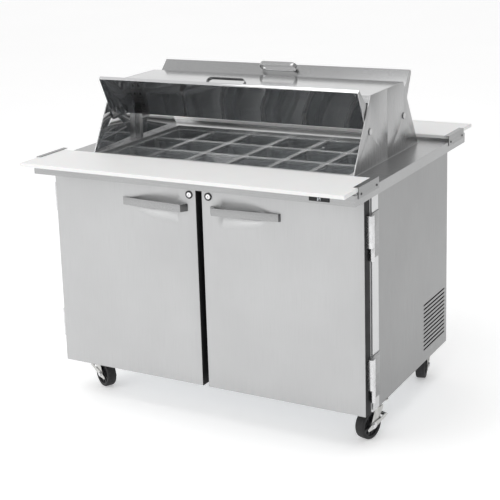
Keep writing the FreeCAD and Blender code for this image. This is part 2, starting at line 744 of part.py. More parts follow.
def door_skin():
    """Folded stainless pan of the door, with the pressed finger recess and the lock hole."""
    outer = box((DOOR_INNER, DOOR_OUTER), (DOOR_FACE, DOOR_BACK), (DOOR_BOTTOM, DOOR_TOP))
    hollow = box((DOOR_INNER + SHEET, DOOR_OUTER - SHEET), (DOOR_FACE + SHEET, DOOR_BACK),
                 (DOOR_BOTTOM + SHEET, DOOR_TOP - SHEET))
    shell = cut(outer, [hollow]).fuse(recess_block(SHEET))
    lock_hole = lock_rod(DOOR_FACE, DOOR_FACE + SHEET, LOCK_BARREL_RADIUS)
    return cut(shell, [recess_block(0), lock_hole]).removeSplitter()


def door_core():
    """Foam-filled inner pan, moulded proud on the cabinet side."""
    block = box((DOOR_INNER + SHEET, DOOR_OUTER - SHEET), (DOOR_FACE + SHEET, DOOR_BACK),
                (DOOR_BOTTOM + SHEET, DOOR_TOP - SHEET))
    boss_x = (DOOR_INNER + DOOR_BOSS_INSET, DOOR_OUTER - DOOR_BOSS_INSET - GASKET_WIDTH)
    boss = box(boss_x, (DOOR_BACK, DOOR_BACK + DOOR_BOSS), (DOOR_BOSS_BOTTOM, DOOR_BOSS_TOP))
    hole = lock_rod(DOOR_FACE, DOOR_FACE + LOCK_DEPTH, LOCK_BARREL_RADIUS)
    return cut(fuse([block, boss]), [recess_block(SHEET), hole])


def door_gasket():
    """Magnetic seal round the back of the door."""
    x_span = (DOOR_INNER + GASKET_INSET, DOOR_OUTER - GASKET_INSET)
    z_span = (DOOR_BOTTOM + GASKET_INSET, DOOR_TOP - GASKET_INSET)
    y_span = (DOOR_BACK, BODY_FRONT - CLEARANCE)
    outer = box(x_span, y_span, z_span)
    hole_x = (x_span[0] + GASKET_WIDTH, x_span[1] - GASKET_WIDTH)
    hole_z = (z_span[0] + GASKET_WIDTH, z_span[1] - GASKET_WIDTH)
    return cut(outer, [box(hole_x, y_span, hole_z)])


def handle_stand(x):
    """Distance of the front of the handle from the door face."""
    share = (x - HANDLE_NOSE[0]) / (HANDLE_TAIL[0] - HANDLE_NOSE[0])
    return HANDLE_NOSE[1] + share * (HANDLE_TAIL[1] - HANDLE_NOSE[1])


def door_handle():
    """Tapered bar that stands out most near the lock and meets the door at its outer end."""
    z_span = (HANDLE_Z - HANDLE_HEIGHT / 2, HANDLE_Z + HANDLE_HEIGHT / 2)
    inner, outer = HANDLE_FEET
    bar = prism_z([(inner, 0), HANDLE_NOSE, HANDLE_TAIL, (outer, 0)], z_span)
    upright = [edge for edge in bar.Edges
               if edge.BoundBox.ZLength > HANDLE_HEIGHT - CLEARANCE and edge.BoundBox.YMin > CLEARANCE]
    bar = bar.makeFillet(HANDLE_ROUND, upright)
    near = HANDLE_NOSE[0] + HANDLE_FOOT
    far = HANDLE_TAIL[0] - HANDLE_FOOT
    gap = prism_z([(inner + HANDLE_FOOT, 0), (near, handle_stand(near) - HANDLE_BAR),
                   (far, handle_stand(far) - HANDLE_BAR), (far, 0)], z_span)
    return moved(cut(bar, [gap]).mirror(ORIGIN, Y_AXIS), 0, DOOR_FACE, 0)


def lock_housing():
    """Barrel through the door with a ring on its face."""
    face = DOOR_FACE - LOCK_RING
    ring = lock_rod(face, DOOR_FACE, LOCK_RING_RADIUS)
    barrel = lock_rod(DOOR_FACE, DOOR_FACE + LOCK_DEPTH, LOCK_BARREL_RADIUS)
    bore = lock_rod(face, DOOR_FACE + LOCK_DEPTH - LOCK_RING, LOCK_PLUG_RADIUS + RUNNING_FIT)
    return cut(fuse([ring, barrel]), [bore])


def lock_plug():
    """Plug that turns a quarter turn, with a keyway in its face."""
    face = DOOR_FACE - LOCK_RING
    plug = lock_rod(face, DOOR_FACE + LOCK_DEPTH - LOCK_RING - CLEARANCE, LOCK_PLUG_RADIUS)
    width, height, depth = LOCK_KEYWAY
    x_span = (LOCK_X - width / 2, LOCK_X + width / 2)
    z_span = (LOCK_Z - height / 2, LOCK_Z + height / 2)
    return cut(plug, [box(x_span, (face, face + depth), z_span)])


# ---------------------------------------------------------------- hinges (right side)
def hinge_block(z_span):
    """Knuckle: flat towards the front and round towards the cabinet."""
    front = box((HINGE_X - HINGE_RADIUS, HINGE_X + HINGE_RADIUS), (HINGE_FRONT, HINGE_Y), z_span)
    return fuse([front, rod((HINGE_X, HINGE_Y, z_span[0]), (HINGE_X, HINGE_Y, z_span[1]), HINGE_RADIUS)])


def hinge_door_part(top):
    """Upper knuckle and its leaf on the side of the door."""
    z_span = (top - HINGE_DOOR_PART, top)
    leaf = box((DOOR_OUTER, BODY_HALF), (HINGE_FRONT, DOOR_BACK), z_span)
    bore_end = (HINGE_X, HINGE_Y, top - HINGE_FRAME_PART / 2)
    bore = rod((HINGE_X, HINGE_Y, z_span[0]), bore_end, HINGE_PIN_RADIUS + RUNNING_FIT)
    return cut(fuse([hinge_block(z_span), leaf]), [bore])


def hinge_frame_part(top):
    """Lower round knuckle with its pin, an arm and the plate on the front frame."""
    seam = top - HINGE_DOOR_PART - CLEARANCE
    bottom = seam - HINGE_FRAME_PART
    knuckle = rod((HINGE_X, HINGE_Y, bottom), (HINGE_X, HINGE_Y, seam), HINGE_RADIUS)
    pin_end = (HINGE_X, HINGE_Y, top - HINGE_FRAME_PART / 2 - CLEARANCE)
    pin = rod((HINGE_X, HINGE_Y, bottom), pin_end, HINGE_PIN_RADIUS)
    arm = box((BODY_HALF, BODY_HALF + HINGE_PLATE), (HINGE_Y, BODY_FRONT), (bottom, seam))
    plate = box((BODY_HALF, BODY_HALF + HINGE_PLATE), (BODY_FRONT, FRAME_BACK), (bottom, top))
    return fuse([knuckle, pin, arm, plate])


# ---------------------------------------------------------------- casters
def caster_top():
    """Mounting plate, ball race and kingpin with its nut."""
    half = CASTER_PLATE_SIZE / 2
    plate_bottom = BODY_BOTTOM - CASTER_PLATE
    plate = box((-half, half), (-half, half), (plate_bottom, BODY_BOTTOM))
    race = rod((0, 0, FORK_TOP + CLEARANCE), (0, 0, plate_bottom), RACE_RADIUS)
    nut_top = FORK_TOP - FORK_CROWN - CLEARANCE
    pin = rod((0, 0, nut_top - KINGPIN_NUT), (0, 0, plate_bottom), KINGPIN_RADIUS)
    nut = rod((0, 0, nut_top - KINGPIN_NUT), (0, 0, nut_top), KINGPIN_NUT_RADIUS)
    return fuse([plate, race, pin, nut])


def axle_disc(y_start, y_end, radius):
    """A cylinder about the wheel's axle, before the caster is put in place."""
    return rod((CASTER_TRAIL, y_start, WHEEL_RADIUS), (CASTER_TRAIL, y_end, WHEEL_RADIUS), radius)


def caster_fork():
    """Crown and two legs, with the axle bolt."""
    width = FORK_INNER + FORK_LEG
    crown = box((-RACE_RADIUS, RACE_RADIUS), (-width, width), (FORK_TOP - FORK_CROWN, FORK_TOP))
    hole = rod((0, 0, FORK_TOP - 2 * FORK_CROWN), (0, 0, FORK_TOP + FORK_CROWN), KINGPIN_RADIUS + RUNNING_FIT)
    eye = WHEEL_HUB_RADIUS - FORK_LEG
    outline = [(-RACE_RADIUS, FORK_TOP), (RACE_RADIUS, FORK_TOP), (CASTER_TRAIL + eye, WHEEL_RADIUS),
               (CASTER_TRAIL - eye, WHEEL_RADIUS)]
    pieces = [crown]
    for side in (-1, 1):
        y_span = (side * FORK_INNER, side * width)
        pieces.append(prism_y(outline, y_span))
        pieces.append(axle_disc(y_span[0], y_span[1], eye))
        head_start = side * (width + PEDAL_ARM + 2 * CLEARANCE)
        pieces.append(axle_disc(head_start, head_start + side * AXLE_HEAD, AXLE_HEAD_RADIUS))
    end = width + PEDAL_ARM + 2 * CLEARANCE
    pieces.append(axle_disc(-end, end, AXLE_RADIUS))
    return cut(fuse(pieces), [hole])


def caster_wheel():
    """Solid tyre with a dished side and a hub."""
    half = WHEEL_WIDTH / 2
    tyre = axle_disc(-half, half, WHEEL_RADIUS)
    rims = [edge for edge in tyre.Edges if edge.Curve.TypeId == "Part::GeomCircle"]
    tyre = tyre.makeFillet(WHEEL_ROUND, rims)
    dishes = []
    for side in (-1, 1):
        dishes.append(axle_disc(side * (half - WHEEL_DISH), side * (half + WHEEL_DISH), WHEEL_DISH_RADIUS))
    hub = axle_disc(-WHEEL_HUB_WIDTH / 2, WHEEL_HUB_WIDTH / 2, WHEEL_HUB_RADIUS)
    bore = axle_disc(-WHEEL_HUB_WIDTH, WHEEL_HUB_WIDTH, AXLE_RADIUS + RUNNING_FIT)
    return cut(fuse([cut(tyre, dishes), hub]), [bore])


def brake_pedal():
    """Foot lever that turns on the axle outside the fork legs; its pedal is on the swivel's side."""
    inner = FORK_INNER + FORK_LEG + CLEARANCE
    outer = inner + PEDAL_ARM
    half = PEDAL_ARM_WIDTH / 2
    pieces = []
    for side in (-1, 1):
        y_span = (side * inner, side * outer)
        pieces.append(box((-PEDAL_TAIL, PEDAL_REACH[1]), y_span, (-half, half)))
        pieces.append(rod((0, y_span[0], 0), (0, y_span[1], 0), PEDAL_ARM_WIDTH))
    pieces.append(box(PEDAL_REACH, (-outer, outer), (half - PEDAL_PLATE, half)))
    lever = cut(fuse(pieces), [rod((0, -2 * outer, 0), (0, 2 * outer, 0), AXLE_RADIUS + RUNNING_FIT)])
    raised = turned(lever, -PEDAL_ANGLE, ORIGIN, Y_AXIS)
    return moved(turned(raised, 180), CASTER_TRAIL, 0, WHEEL_RADIUS)


def place_caster(shape, name):
    x, y, direction = CASTERS[name]
    return moved(turned(shape, direction), x, y, 0)


# ---------------------------------------------------------------- refrigeration
def fan(radius, y, x, z):
    """Hub with pitched blades, turning about an axis along Y."""
    pieces = [rod((0, 0, 0), (0, FAN_HUB_DEPTH, 0), FAN_HUB_RADIUS)]
    middle = FAN_HUB_DEPTH / 2
    reach = radius - FAN_TIP_GAP
    chord = radius * math.sin(math.radians(360 / FAN_BLADES / 2)) / 2
    thickness = (middle - FAN_BLADE / 2, middle + FAN_BLADE / 2)
    for index in range(FAN_BLADES):
        blade = box((-chord, chord), thickness, (FAN_HUB_RADIUS / 2, reach))
        blade = turned(blade, FAN_PITCH, VECTOR(0, middle, 0), Z_AXIS)
        pieces.append(turned(blade, index * 360 / FAN_BLADES, ORIGIN, Y_AXIS))
    return moved(fuse(pieces), x, y, z)


def condenser_centre():
    return sum(CONDENSER_X) / 2, sum(CONDENSER_Z) / 2


def condenser_coil():
    """Finned block with a shroud plate round the fan opening."""
    block = box(CONDENSER_X, CONDENSER_Y, CONDENSER_Z)
    shroud = box(CONDENSER_X, (CONDENSER_FAN_Y, CONDENSER_Y[0]), CONDENSER_Z)
    x, z = condenser_centre()
    opening = rod((x, CONDENSER_FAN_Y, z), (x, CONDENSER_Y[0], z), CONDENSER_FAN_RADIUS)
    foot = box(CONDENSER_X, (CONDENSER_FAN_Y, CONDENSER_Y[1]), (BODY_BOTTOM + BASE_SHEET, CONDENSER_Z[0]))
    return cut(fuse([block, shroud, foot]), [opening])


def evaporator_unit():
    """Cold coil in a housing under the lining's ceiling, with a fan opening."""
    half = EVAPORATOR_HALF_WIDTH
    housing = box((-half, half), EVAPORATOR_Y, EVAPORATOR_Z)
    z = sum(EVAPORATOR_Z) / 2
    opening = rod((0, EVAPORATOR_Y[0], z), (0, EVAPORATOR_Y[1] - PILASTER_WIDTH, z), EVAPORATOR_FAN_RADIUS)
    hanger = box((-half, half), (EVAPORATOR_Y[1], LINER_BACK), EVAPORATOR_Z)
    return cut(fuse([housing, hanger]), [opening])


def compressor():
    """Welded dome on a base plate with four feet."""
    x, y = COMPRESSOR_AT
    width, depth, thickness = COMPRESSOR_BASE
    floor = BODY_BOTTOM + BASE_SHEET
    feet_top = floor + COMPRESSOR_FOOT
    plate_top = feet_top + thickness
    base = box((x - width / 2, x + width / 2), (y - depth / 2, y + depth / 2), (feet_top, plate_top))
    dome = rod((x, y, plate_top), (x, y, plate_top + COMPRESSOR_HEIGHT), COMPRESSOR_RADIUS)
    rims = [edge for edge in dome.Edges if edge.Curve.TypeId == "Part::GeomCircle"]
    dome = dome.makeFillet(COMPRESSOR_RADIUS / 3, rims)
    pieces = [base, dome]
    for sx in (-1, 1):
        for sy in (-1, 1):
            foot_x = x + sx * (width / 2 - COMPRESSOR_FOOT)
            foot_y = y + sy * (depth / 2 - COMPRESSOR_FOOT)
            pieces.append(rod((foot_x, foot_y, floor), (foot_x, foot_y, feet_top), COMPRESSOR_FOOT))
    return fuse(pieces)


# ---------------------------------------------------------------- shelves
def wire_shelf():
    """Right shelf: a rod frame with wires from front to back."""
    x0, x1 = SHELF_X
    y0, y1 = SHELF_Y
    corners = [(x0, y0, SHELF_Z), (x1, y0, SHELF_Z), (x1, y1, SHELF_Z), (x0, y1, SHELF_Z)]
    pieces = []
    for index, corner in enumerate(corners):
        pieces.append(rod(corner, corners[(index + 1) % 4], SHELF_ROD))
        pieces.append(Part.makeSphere(SHELF_ROD, VECTOR(*corner)))
    pitch = (x1 - x0) / (SHELF_WIRES + 1)
    for index in range(1, SHELF_WIRES + 1):
        x = x0 + index * pitch
        pieces.append(rod((x, y0, SHELF_Z + SHELF_ROD / 2), (x, y1, SHELF_Z + SHELF_ROD / 2), SHELF_WIRE))
    return fuse(pieces)


def shelf_support(x_wall, inward, y):
    """Slotted upright on the lining with a clip under the shelf rod."""
    y_span = (y - PILASTER_WIDTH / 2, y + PILASTER_WIDTH / 2)
    upright = box((x_wall, x_wall + inward * PILASTER_DEPTH), y_span, (LINER_FLOOR, LINER_CEILING))
    clip_top = SHELF_Z - SHELF_ROD
    clip = box((x_wall, x_wall + inward * 2 * PILASTER_WIDTH), y_span, (clip_top - CLIP_HEIGHT, clip_top))
    return fuse([upright, clip])


def shelf_supports():
    """Uprights on both side walls and a shared pair behind the mullion."""
    pieces = []
    for y in PILASTER_Y:
        pieces += both_sides(shelf_support(LINER_HALF_WIDTH, -1, y))
        pieces.append(fuse(both_sides(shelf_support(0, 1, y))))
    return pieces


# ---------------------------------------------------------------- display
def display_module():
    """Thermostat display set into the front apron."""
    x0, x1 = DISPLAY_X
    z0, z1 = DISPLAY_Z
    body = box(DISPLAY_X, (-DECK_HALF_Y, -DECK_HALF_Y + DISPLAY_BODY), DISPLAY_Z)
    bezel = box((x0 - DISPLAY_BEZEL, x1 + DISPLAY_BEZEL), (-DECK_HALF_Y - DISPLAY_BEZEL, -DECK_HALF_Y),
                (z0 - DISPLAY_BEZEL, z1 + DISPLAY_BEZEL))
    return fuse([body, bezel])


# ---------------------------------------------------------------- write every sub-part
def save_cabinet():
    save("left_side_panel", [mirror_x(side_panel())])
    save("right_side_panel", [louvred_side_panel()])
    save("back_panel", [back_panel()])
    save("rear_grille", [rear_grille()])
    save("base_frame", [base_frame()])
    save("front_frame", [front_frame()])
    save("mullion", [mullion()])
    save("inner_liner", [inner_liner()])
    save("cabinet_insulation", [cabinet_insulation()])
    save("wire_shelves", both_sides(wire_shelf()))
    save("shelf_supports", shelf_supports())
    save("frame_hinge_parts", [copy for top in HINGE_TOPS for copy in both_sides(hinge_frame_part(top))])


def save_worktop():
    save("worktop_deck", [worktop_deck()])
    save("pan_well", [pan_well()])
    save("pan_divider_bars", pan_divider_bars())
    save("food_pans", food_pans())
    save("front_board", [cutting_board()])
    save("rear_board", [mirror_y(cutting_board())])
    save("board_brackets", four_ways([board_bracket()]))
    save("screws", four_ways(bracket_screws()) + rim_screws())
    save("display_module", [display_module()])


def save_hood():
    save("hood_end_panels", four_ways([hood_end_half()]))
    save("hood_top", [hood_top()])
    save("hood_posts", both_sides(hood_post()))
    save("front_lid_panel", [lid_panel()])
    save("rear_lid_panel", [mirror_y(lid_panel())])
    save("front_lid_hardware", lid_hardware())
    save("rear_lid_hardware", [mirror_y(shape) for shape in lid_hardware()])


def save_doors():
    right_door = {
        "skin": [door_skin()],
        "core": [door_core()],
        "gasket": [door_gasket()],
        "handle": [door_handle()],
        "hinges": [hinge_door_part(top) for top in HINGE_TOPS],
        "lock_housing": [lock_housing()],
        "lock_plug": [lock_plug()],
    }
    for piece, shapes in right_door.items():
        save("right_door_" + piece, shapes)
        save("left_door_" + piece, [mirror_x(shape) for shape in shapes])


def save_casters():
    save("caster_plates", [place_caster(caster_top(), name) for name in CASTERS])
    for name in CASTERS:
        save(name + "_fork", [place_caster(caster_fork(), name)])
        save(name + "_wheel", [place_caster(caster_wheel(), name)])
        save(name + "_brake", [place_caster(brake_pedal(), name)])


def save_refrigeration():
    x, z = condenser_centre()
    save("condenser_coil", [condenser_coil()])
    save("condenser_fan", [fan(CONDENSER_FAN_RADIUS, CONDENSER_FAN_Y, x, z)])
    save("evaporator_unit", [evaporator_unit()])
    save("evaporator_fan", [fan(EVAPORATOR_FAN_RADIUS, EVAPORATOR_FAN_Y, 0, sum(EVAPORATOR_Z) / 2)])
    save("compressor", [compressor()])


save_cabinet()
save_worktop()
save_hood()
save_doors()
save_casters()
save_refrigeration()
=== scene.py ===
"""Looks of the refrigerated sandwich prep table: materials, fine detail, floor, light and camera.

Metres, +X to the right of a person at the front board, -Y towards that person, +Z up.
"""

import json
from math import copysign, cos, hypot, pi, radians, sin, sqrt

import bmesh
import bpy
from mathutils import Matrix, Vector


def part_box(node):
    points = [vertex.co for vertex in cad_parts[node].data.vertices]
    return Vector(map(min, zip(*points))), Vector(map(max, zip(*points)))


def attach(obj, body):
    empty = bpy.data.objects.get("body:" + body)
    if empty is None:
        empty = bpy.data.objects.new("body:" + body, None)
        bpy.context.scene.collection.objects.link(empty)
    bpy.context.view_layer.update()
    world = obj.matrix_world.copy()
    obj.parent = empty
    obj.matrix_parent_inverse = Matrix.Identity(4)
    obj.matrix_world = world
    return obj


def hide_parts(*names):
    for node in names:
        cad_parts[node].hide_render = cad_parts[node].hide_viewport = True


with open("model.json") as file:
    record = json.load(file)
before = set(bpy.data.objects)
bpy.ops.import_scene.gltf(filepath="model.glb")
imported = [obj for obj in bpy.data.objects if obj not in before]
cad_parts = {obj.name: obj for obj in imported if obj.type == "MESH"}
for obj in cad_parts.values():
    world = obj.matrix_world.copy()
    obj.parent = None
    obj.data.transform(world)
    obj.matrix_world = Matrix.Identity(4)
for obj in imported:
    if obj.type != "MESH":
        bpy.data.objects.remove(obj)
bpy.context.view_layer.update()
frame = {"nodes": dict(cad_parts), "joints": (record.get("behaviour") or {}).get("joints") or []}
NODES = frame["nodes"]
JOINTS = {joint["name"]: joint for joint in frame["joints"]}

# ---------------- named values
MM = 0.001
EDGE = 0.6 * MM                 # usual broken edge on sheet metal
FLAT_ANGLE = radians(1)    # faces that meet at less are one flat face
SMOOTH_ANGLE = radians(35)
SHARP_ANGLE = radians(40)  # edges sharper than this are rounded
WELD = 0.01 * MM                # CAD vertices closer than this are one
GRAIN_ACROSS = 1400             # scratches per metre across brushed steel
GRAIN_ALONG = 9                 # and along it

CAMERA_AT = (2.0544, -3.8161, 1.8322)
CAMERA_YAW = 0.5363
CAMERA_PITCH = 0.2266
CAMERA_ROLL = -0.0385
CAMERA_FOCAL = 2.4453           # focal length over sensor width
CAMERA_SHIFT = (0.0898, -0.165)
SENSOR = 36.0

CORNERS = ("front_left", "front_right", "rear_left", "rear_right")
SIDES = (("left", -1), ("right", 1))


# ---------------- materials
def ramp(tree, value, start, end, low, high):
    """A value that runs from low to high while another runs from start to end."""
    node = tree.nodes.new("ShaderNodeMapRange")
    tree.links.new(value, node.inputs["Value"])
    for name, limit in (("From Min", start), ("From Max", end), ("To Min", low), ("To Max", high)):
        node.inputs[name].default_value = limit
    return node.outputs["Result"]


class Surface:
    """A node material under construction: one Principled shader fed by procedural detail."""

    def __init__(self, name, color, roughness, metallic=0.0):
        self.material = bpy.data.materials.new(name)
        self.material.use_nodes = True
        self.tree = self.material.node_tree
        self.shader = self.tree.nodes["Principled BSDF"]
        self.color = color
        self.roughness = roughness
        self.shader.inputs["Base Color"].default_value = (*color, 1)
        self.shader.inputs["Roughness"].default_value = roughness
        self.shader.inputs["Metallic"].default_value = metallic
        self.place = self.tree.nodes.new("ShaderNodeTexCoord").outputs["Object"]
        self.last_normal = None

    def set(self, **values):
        """Sets shader inputs by name."""
        for name, value in values.items():
            self.shader.inputs[name.replace("_", " ")].default_value = value

    def texture(self, kind, axes):
        """A texture over the object's own coordinates, scaled on each axis."""
        mapping = self.tree.nodes.new("ShaderNodeMapping")
        mapping.inputs["Scale"].default_value = axes
        self.tree.links.new(self.place, mapping.inputs["Vector"])
        node = self.tree.nodes.new(kind)
        self.tree.links.new(mapping.outputs["Vector"], node.inputs["Vector"])
        node.inputs["Scale"].default_value = 1.0
        return node

    def noise(self, scale, detail=3.0):
        """A cloudy value between 0 and 1; the scale is one number or one for each axis."""
        axes = scale if isinstance(scale, tuple) else (scale, scale, scale)
        node = self.texture("ShaderNodeTexNoise", axes)
        node.inputs["Detail"].default_value = detail
        return node.outputs["Fac"]

    def cells(self, scale, output="Distance"):
        """Random cells about 1/scale metres across."""
        return self.texture("ShaderNodeTexVoronoi", (scale, scale, scale)).outputs[output]

    def waves(self, scale, axis):
        """Even ridges across one axis, scale in ridges per metre."""
        node = self.texture("ShaderNodeTexWave", (1, 1, 1))
        node.bands_direction = axis
        node.inputs["Scale"].default_value = scale / pi
        return node.outputs["Fac"]

    def vary_roughness(self, value, by):
        """Lets the roughness swing by this much either way."""
        swing = ramp(self.tree, value, 0.3, 0.7, self.roughness - by, self.roughness + by)
        self.tree.links.new(swing, self.shader.inputs["Roughness"])

    def vary_color(self, value, other, start=0.35, end=0.65):
        """Blends the base colour towards another one where the value is high."""
        node = self.tree.nodes.new("ShaderNodeMix")
        node.data_type = "RGBA"
        self.tree.links.new(ramp(self.tree, value, start, end, 0, 1), node.inputs["Factor"])
        previous = self.shader.inputs["Base Color"]
        if previous.is_linked:
            self.tree.links.new(previous.links[0].from_socket, node.inputs["A"])
        else:
            node.inputs["A"].default_value = previous.default_value
        node.inputs["B"].default_value = (*other, 1)
        self.tree.links.new(node.outputs["Result"], previous)

    def relief(self, value, depth, strength=1.0):
        """Bump of the given depth in metres; several reliefs add up."""
        node = self.tree.nodes.new("ShaderNodeBump")
        node.inputs["Strength"].default_value = strength
        node.inputs["Distance"].default_value = depth
        self.tree.links.new(value, node.inputs["Height"])
        if self.last_normal:
            self.tree.links.new(self.last_normal, node.inputs["Normal"])
        self.last_normal = node.outputs["Normal"]
        self.tree.links.new(self.last_normal, self.shader.inputs["Normal"])


def shade(color, factor):
    return tuple(channel * factor for channel in color)


def brushed(name, along, tone=0.62, roughness=0.3, metallic=1.0):
    """Stainless sheet with its grain along one axis, cloudy handling marks and faint scratches."""
    color = (tone, tone * 1.005, tone * 1.01)
    grain = tuple(GRAIN_ALONG if axis == along else GRAIN_ACROSS for axis in "XYZ")
    surface = Surface(name, color, roughness, metallic)
    fine = surface.noise(grain, detail=2.0)
    clouds = surface.noise(3.2, detail=4.0)
    surface.vary_roughness(fine, 0.07)
    surface.vary_color(clouds, shade(color, 0.94))
    surface.vary_color(fine, shade(color, 0.9), 0.5, 0.85)
    surface.relief(fine, 0.02 * MM, 0.5)
    surface.relief(clouds, 0.4 * MM, 0.07)
    return surface.material


def polished(name, tone=0.76, roughness=0.035):
    """Mirror-finished stainless with a trace of grain and a slight sheet waviness."""
    color = (tone, tone, tone * 1.01)
    surface = Surface(name, color, roughness, metallic=1.0)
    surface.vary_roughness(surface.noise(7.0, detail=5.0), 0.015)
    surface.vary_color(surface.noise(5.0, detail=4.0), shade(color, 0.97))
    surface.relief(surface.noise(2.6, detail=1.0), 0.1 * MM, 0.1)
    return surface.material


def galvanised(name):
    """Zinc-coated sheet with its crystal spangle."""
    surface = Surface(name, (0.5, 0.52, 0.54), 0.42, metallic=0.9)
    spangle = surface.cells(70.0, output="Color")
    surface.vary_color(spangle, (0.66, 0.68, 0.7), 0.2, 0.8)
    surface.vary_roughness(spangle, 0.08)
    surface.relief(surface.noise(240.0), 0.03 * MM, 0.4)
    return surface.material


def zinc_plated(name):
    """Bright zinc on pressed caster steel, slightly streaky."""
    surface = Surface(name, (0.66, 0.66, 0.65), 0.28, metallic=1.0)
    streaks = surface.noise((60, 60, 14), detail=4.0)
    surface.vary_color(streaks, (0.5, 0.5, 0.48))
    surface.vary_roughness(streaks, 0.09)
    surface.relief(surface.noise(500.0), 0.02 * MM, 0.4)
    return surface.material


def chromed(name, tone=0.8, roughness=0.14):
    """Bright plated steel with light wear."""
    color = (tone, tone, tone * 1.01)
    surface = Surface(name, color, roughness, metallic=1.0)
    wear = surface.noise(55.0, detail=5.0)
    surface.vary_roughness(wear, 0.05)
    surface.vary_color(wear, shade(color, 0.9))
    surface.relief(surface.noise(30.0), 0.03 * MM, 0.2)
    return surface.material


def polyethylene(name):
    """White cutting board: matt, slightly waxy, with faint knife marks."""
    surface = Surface(name, (0.84, 0.84, 0.835), 0.5)
    surface.set(Subsurface_Weight=0.06, Subsurface_Scale=0.004)
    grain = surface.noise(900.0, detail=2.0)
    marks = surface.noise((26, 1100, 700), detail=1.0)
    surface.vary_color(surface.noise(4.0, detail=4.0), (0.815, 0.815, 0.81))
    surface.vary_roughness(marks, 0.08)
    surface.relief(grain, 0.04 * MM, 0.5)
    surface.relief(marks, 0.03 * MM, 0.3)
    return surface.material


def polycarbonate(name):
    """Clear food-pan plastic with light scuffs."""
    surface = Surface(name, (0.93, 0.95, 0.96), 0.1)
    surface.set(Transmission_Weight=0.85, IOR=1.58, Alpha=0.55)
    scuffs = surface.noise((90, 90, 420), detail=4.0)
    surface.vary_roughness(scuffs, 0.07)
    surface.vary_color(scuffs, (0.84, 0.87, 0.89))
    surface.relief(surface.noise(35.0), 0.15 * MM, 0.3)
    return surface.material


def moulded(name, color, roughness, texture=700.0, depth=0.05, metallic=0.0):
    """Moulded plastic, rubber or paint: a fine grain, cloudy tone and uneven gloss."""
    surface = Surface(name, color, roughness, metallic)
    grain = surface.noise(texture, detail=2.0)
    clouds = surface.noise(18.0, detail=4.0)
    surface.vary_color(clouds, shade(color, 0.86))
    surface.vary_roughness(clouds, 0.06)
    surface.relief(grain, depth * MM, 0.5)
    return surface.material


def foam(name):
    """Insulating foam with open cells."""
    surface = Surface(name, (0.82, 0.72, 0.42), 0.85)
    cells = surface.cells(420.0)
    surface.vary_color(surface.noise(30.0), (0.7, 0.58, 0.3))
    surface.relief(cells, 0.5 * MM, 0.8)
    return surface.material


def finned(name):
    """Edge-on aluminium fins, with dark bands painted as shade in the gaps between the fins."""
    surface = Surface(name, (0.62, 0.63, 0.65), 0.38, metallic=1.0)
    fins = surface.waves(420.0, "X")
    # Painted shade: dark bands for the gaps between the fins.
    surface.vary_color(fins, (0.16, 0.17, 0.18), 0.45, 0.9)
    surface.vary_roughness(surface.noise(60.0), 0.08)
    surface.relief(fins, 0.8 * MM, 0.9)
    return surface.material


def glowing(name, color, strength):
    """A lit digit."""
    surface = Surface(name, color, 0.3)
    surface.set(Emission_Color=(*color, 1), Emission_Strength=strength)
    surface.vary_color(surface.noise(900.0), shade(color, 0.8))
    return surface.material


MATERIALS = {
    "steel_x": brushed("brushed_steel_x", "X"),
    "steel_y": brushed("brushed_steel_y", "Y"),
    "steel_z": brushed("brushed_steel_z", "Z"),
    # Side panels: the same brushed stainless as the doors at a much darker tone, painted shade on the sides.
    "side_steel_painted_shade": brushed("side_steel_painted_shade", "Z", tone=0.32, roughness=0.34),
    "frame_steel": brushed("frame_steel", "Z", tone=0.66, roughness=0.34),
    "door_steel": brushed("door_steel", "Z", tone=0.53, roughness=0.44, metallic=0.75),
    "handle_steel": brushed("handle_steel", "X", tone=0.36, roughness=0.3),
    # The handle's cut ends: the same brushed steel at a much darker tone, painted shade.
    "handle_end": brushed("handle_cut_end_painted_shade", "Y", tone=0.15, roughness=0.36),
    "hinge_steel": chromed("hinge_steel", 0.7, 0.26),
    "lid_fitting": brushed("lid_fitting_steel", "X", tone=0.5, roughness=0.16),
    "hood_plate": brushed("hood_plate_steel", "X", tone=0.52, roughness=0.14),
    "end_steel": brushed("hood_end_steel", "Z", tone=0.43, roughness=0.28),
    "deck_steel": brushed("deck_steel", "X", tone=0.4, roughness=0.3),
    "polished": polished("polished_steel"),
    # Darker steel for the board brackets, also used as painted shade on the hinge leaves.
    "bracket": brushed("bracket_and_hinge_leaf_shade_steel", "Y", tone=0.33, roughness=0.32),
    # Near-black: the colour of the display bezel and of the louvre filter, and painted shade on the door
    # sides and under the ends of the worktop apron.
    "near_black_and_painted_shade": moulded("near_black_parts_and_painted_shade", (0.012, 0.012, 0.013), 0.7, texture=420.0),
    "screw": brushed("screw_steel", "Z", tone=0.1, roughness=0.36),
    "galvanised": galvanised("galvanised_sheet"),
    "zinc": zinc_plated("zinc_plate"),
    "chrome": chromed("chromed_steel"),
    "board": polyethylene("white_polyethylene"),
    "pan": polycarbonate("clear_polycarbonate"),
    "liner": moulded("white_liner_plastic", (0.82, 0.83, 0.84), 0.34, texture=320.0),
    "black": moulded("black_plastic", (0.018, 0.018, 0.02), 0.45),
    "gasket": moulded("gasket_rubber", (0.03, 0.03, 0.032), 0.62, texture=500.0),
    "tyre": moulded("tread_rubber", (0.017, 0.017, 0.018), 0.66, texture=260.0, depth=0.12),
    "enamel": moulded("black_enamel", (0.02, 0.02, 0.022), 0.24, texture=120.0),
    "coated": moulded("coated_wire", (0.84, 0.84, 0.83), 0.3, texture=300.0),
    "copper": moulded("copper_tube", (0.8, 0.42, 0.25), 0.25, texture=90.0, metallic=1.0),
    "foam": foam("insulating_foam"),
    "fins": finned("aluminium_fins"),
    "digits": glowing("display_digits", (0.9, 0.95, 1.0), 0.8),
}

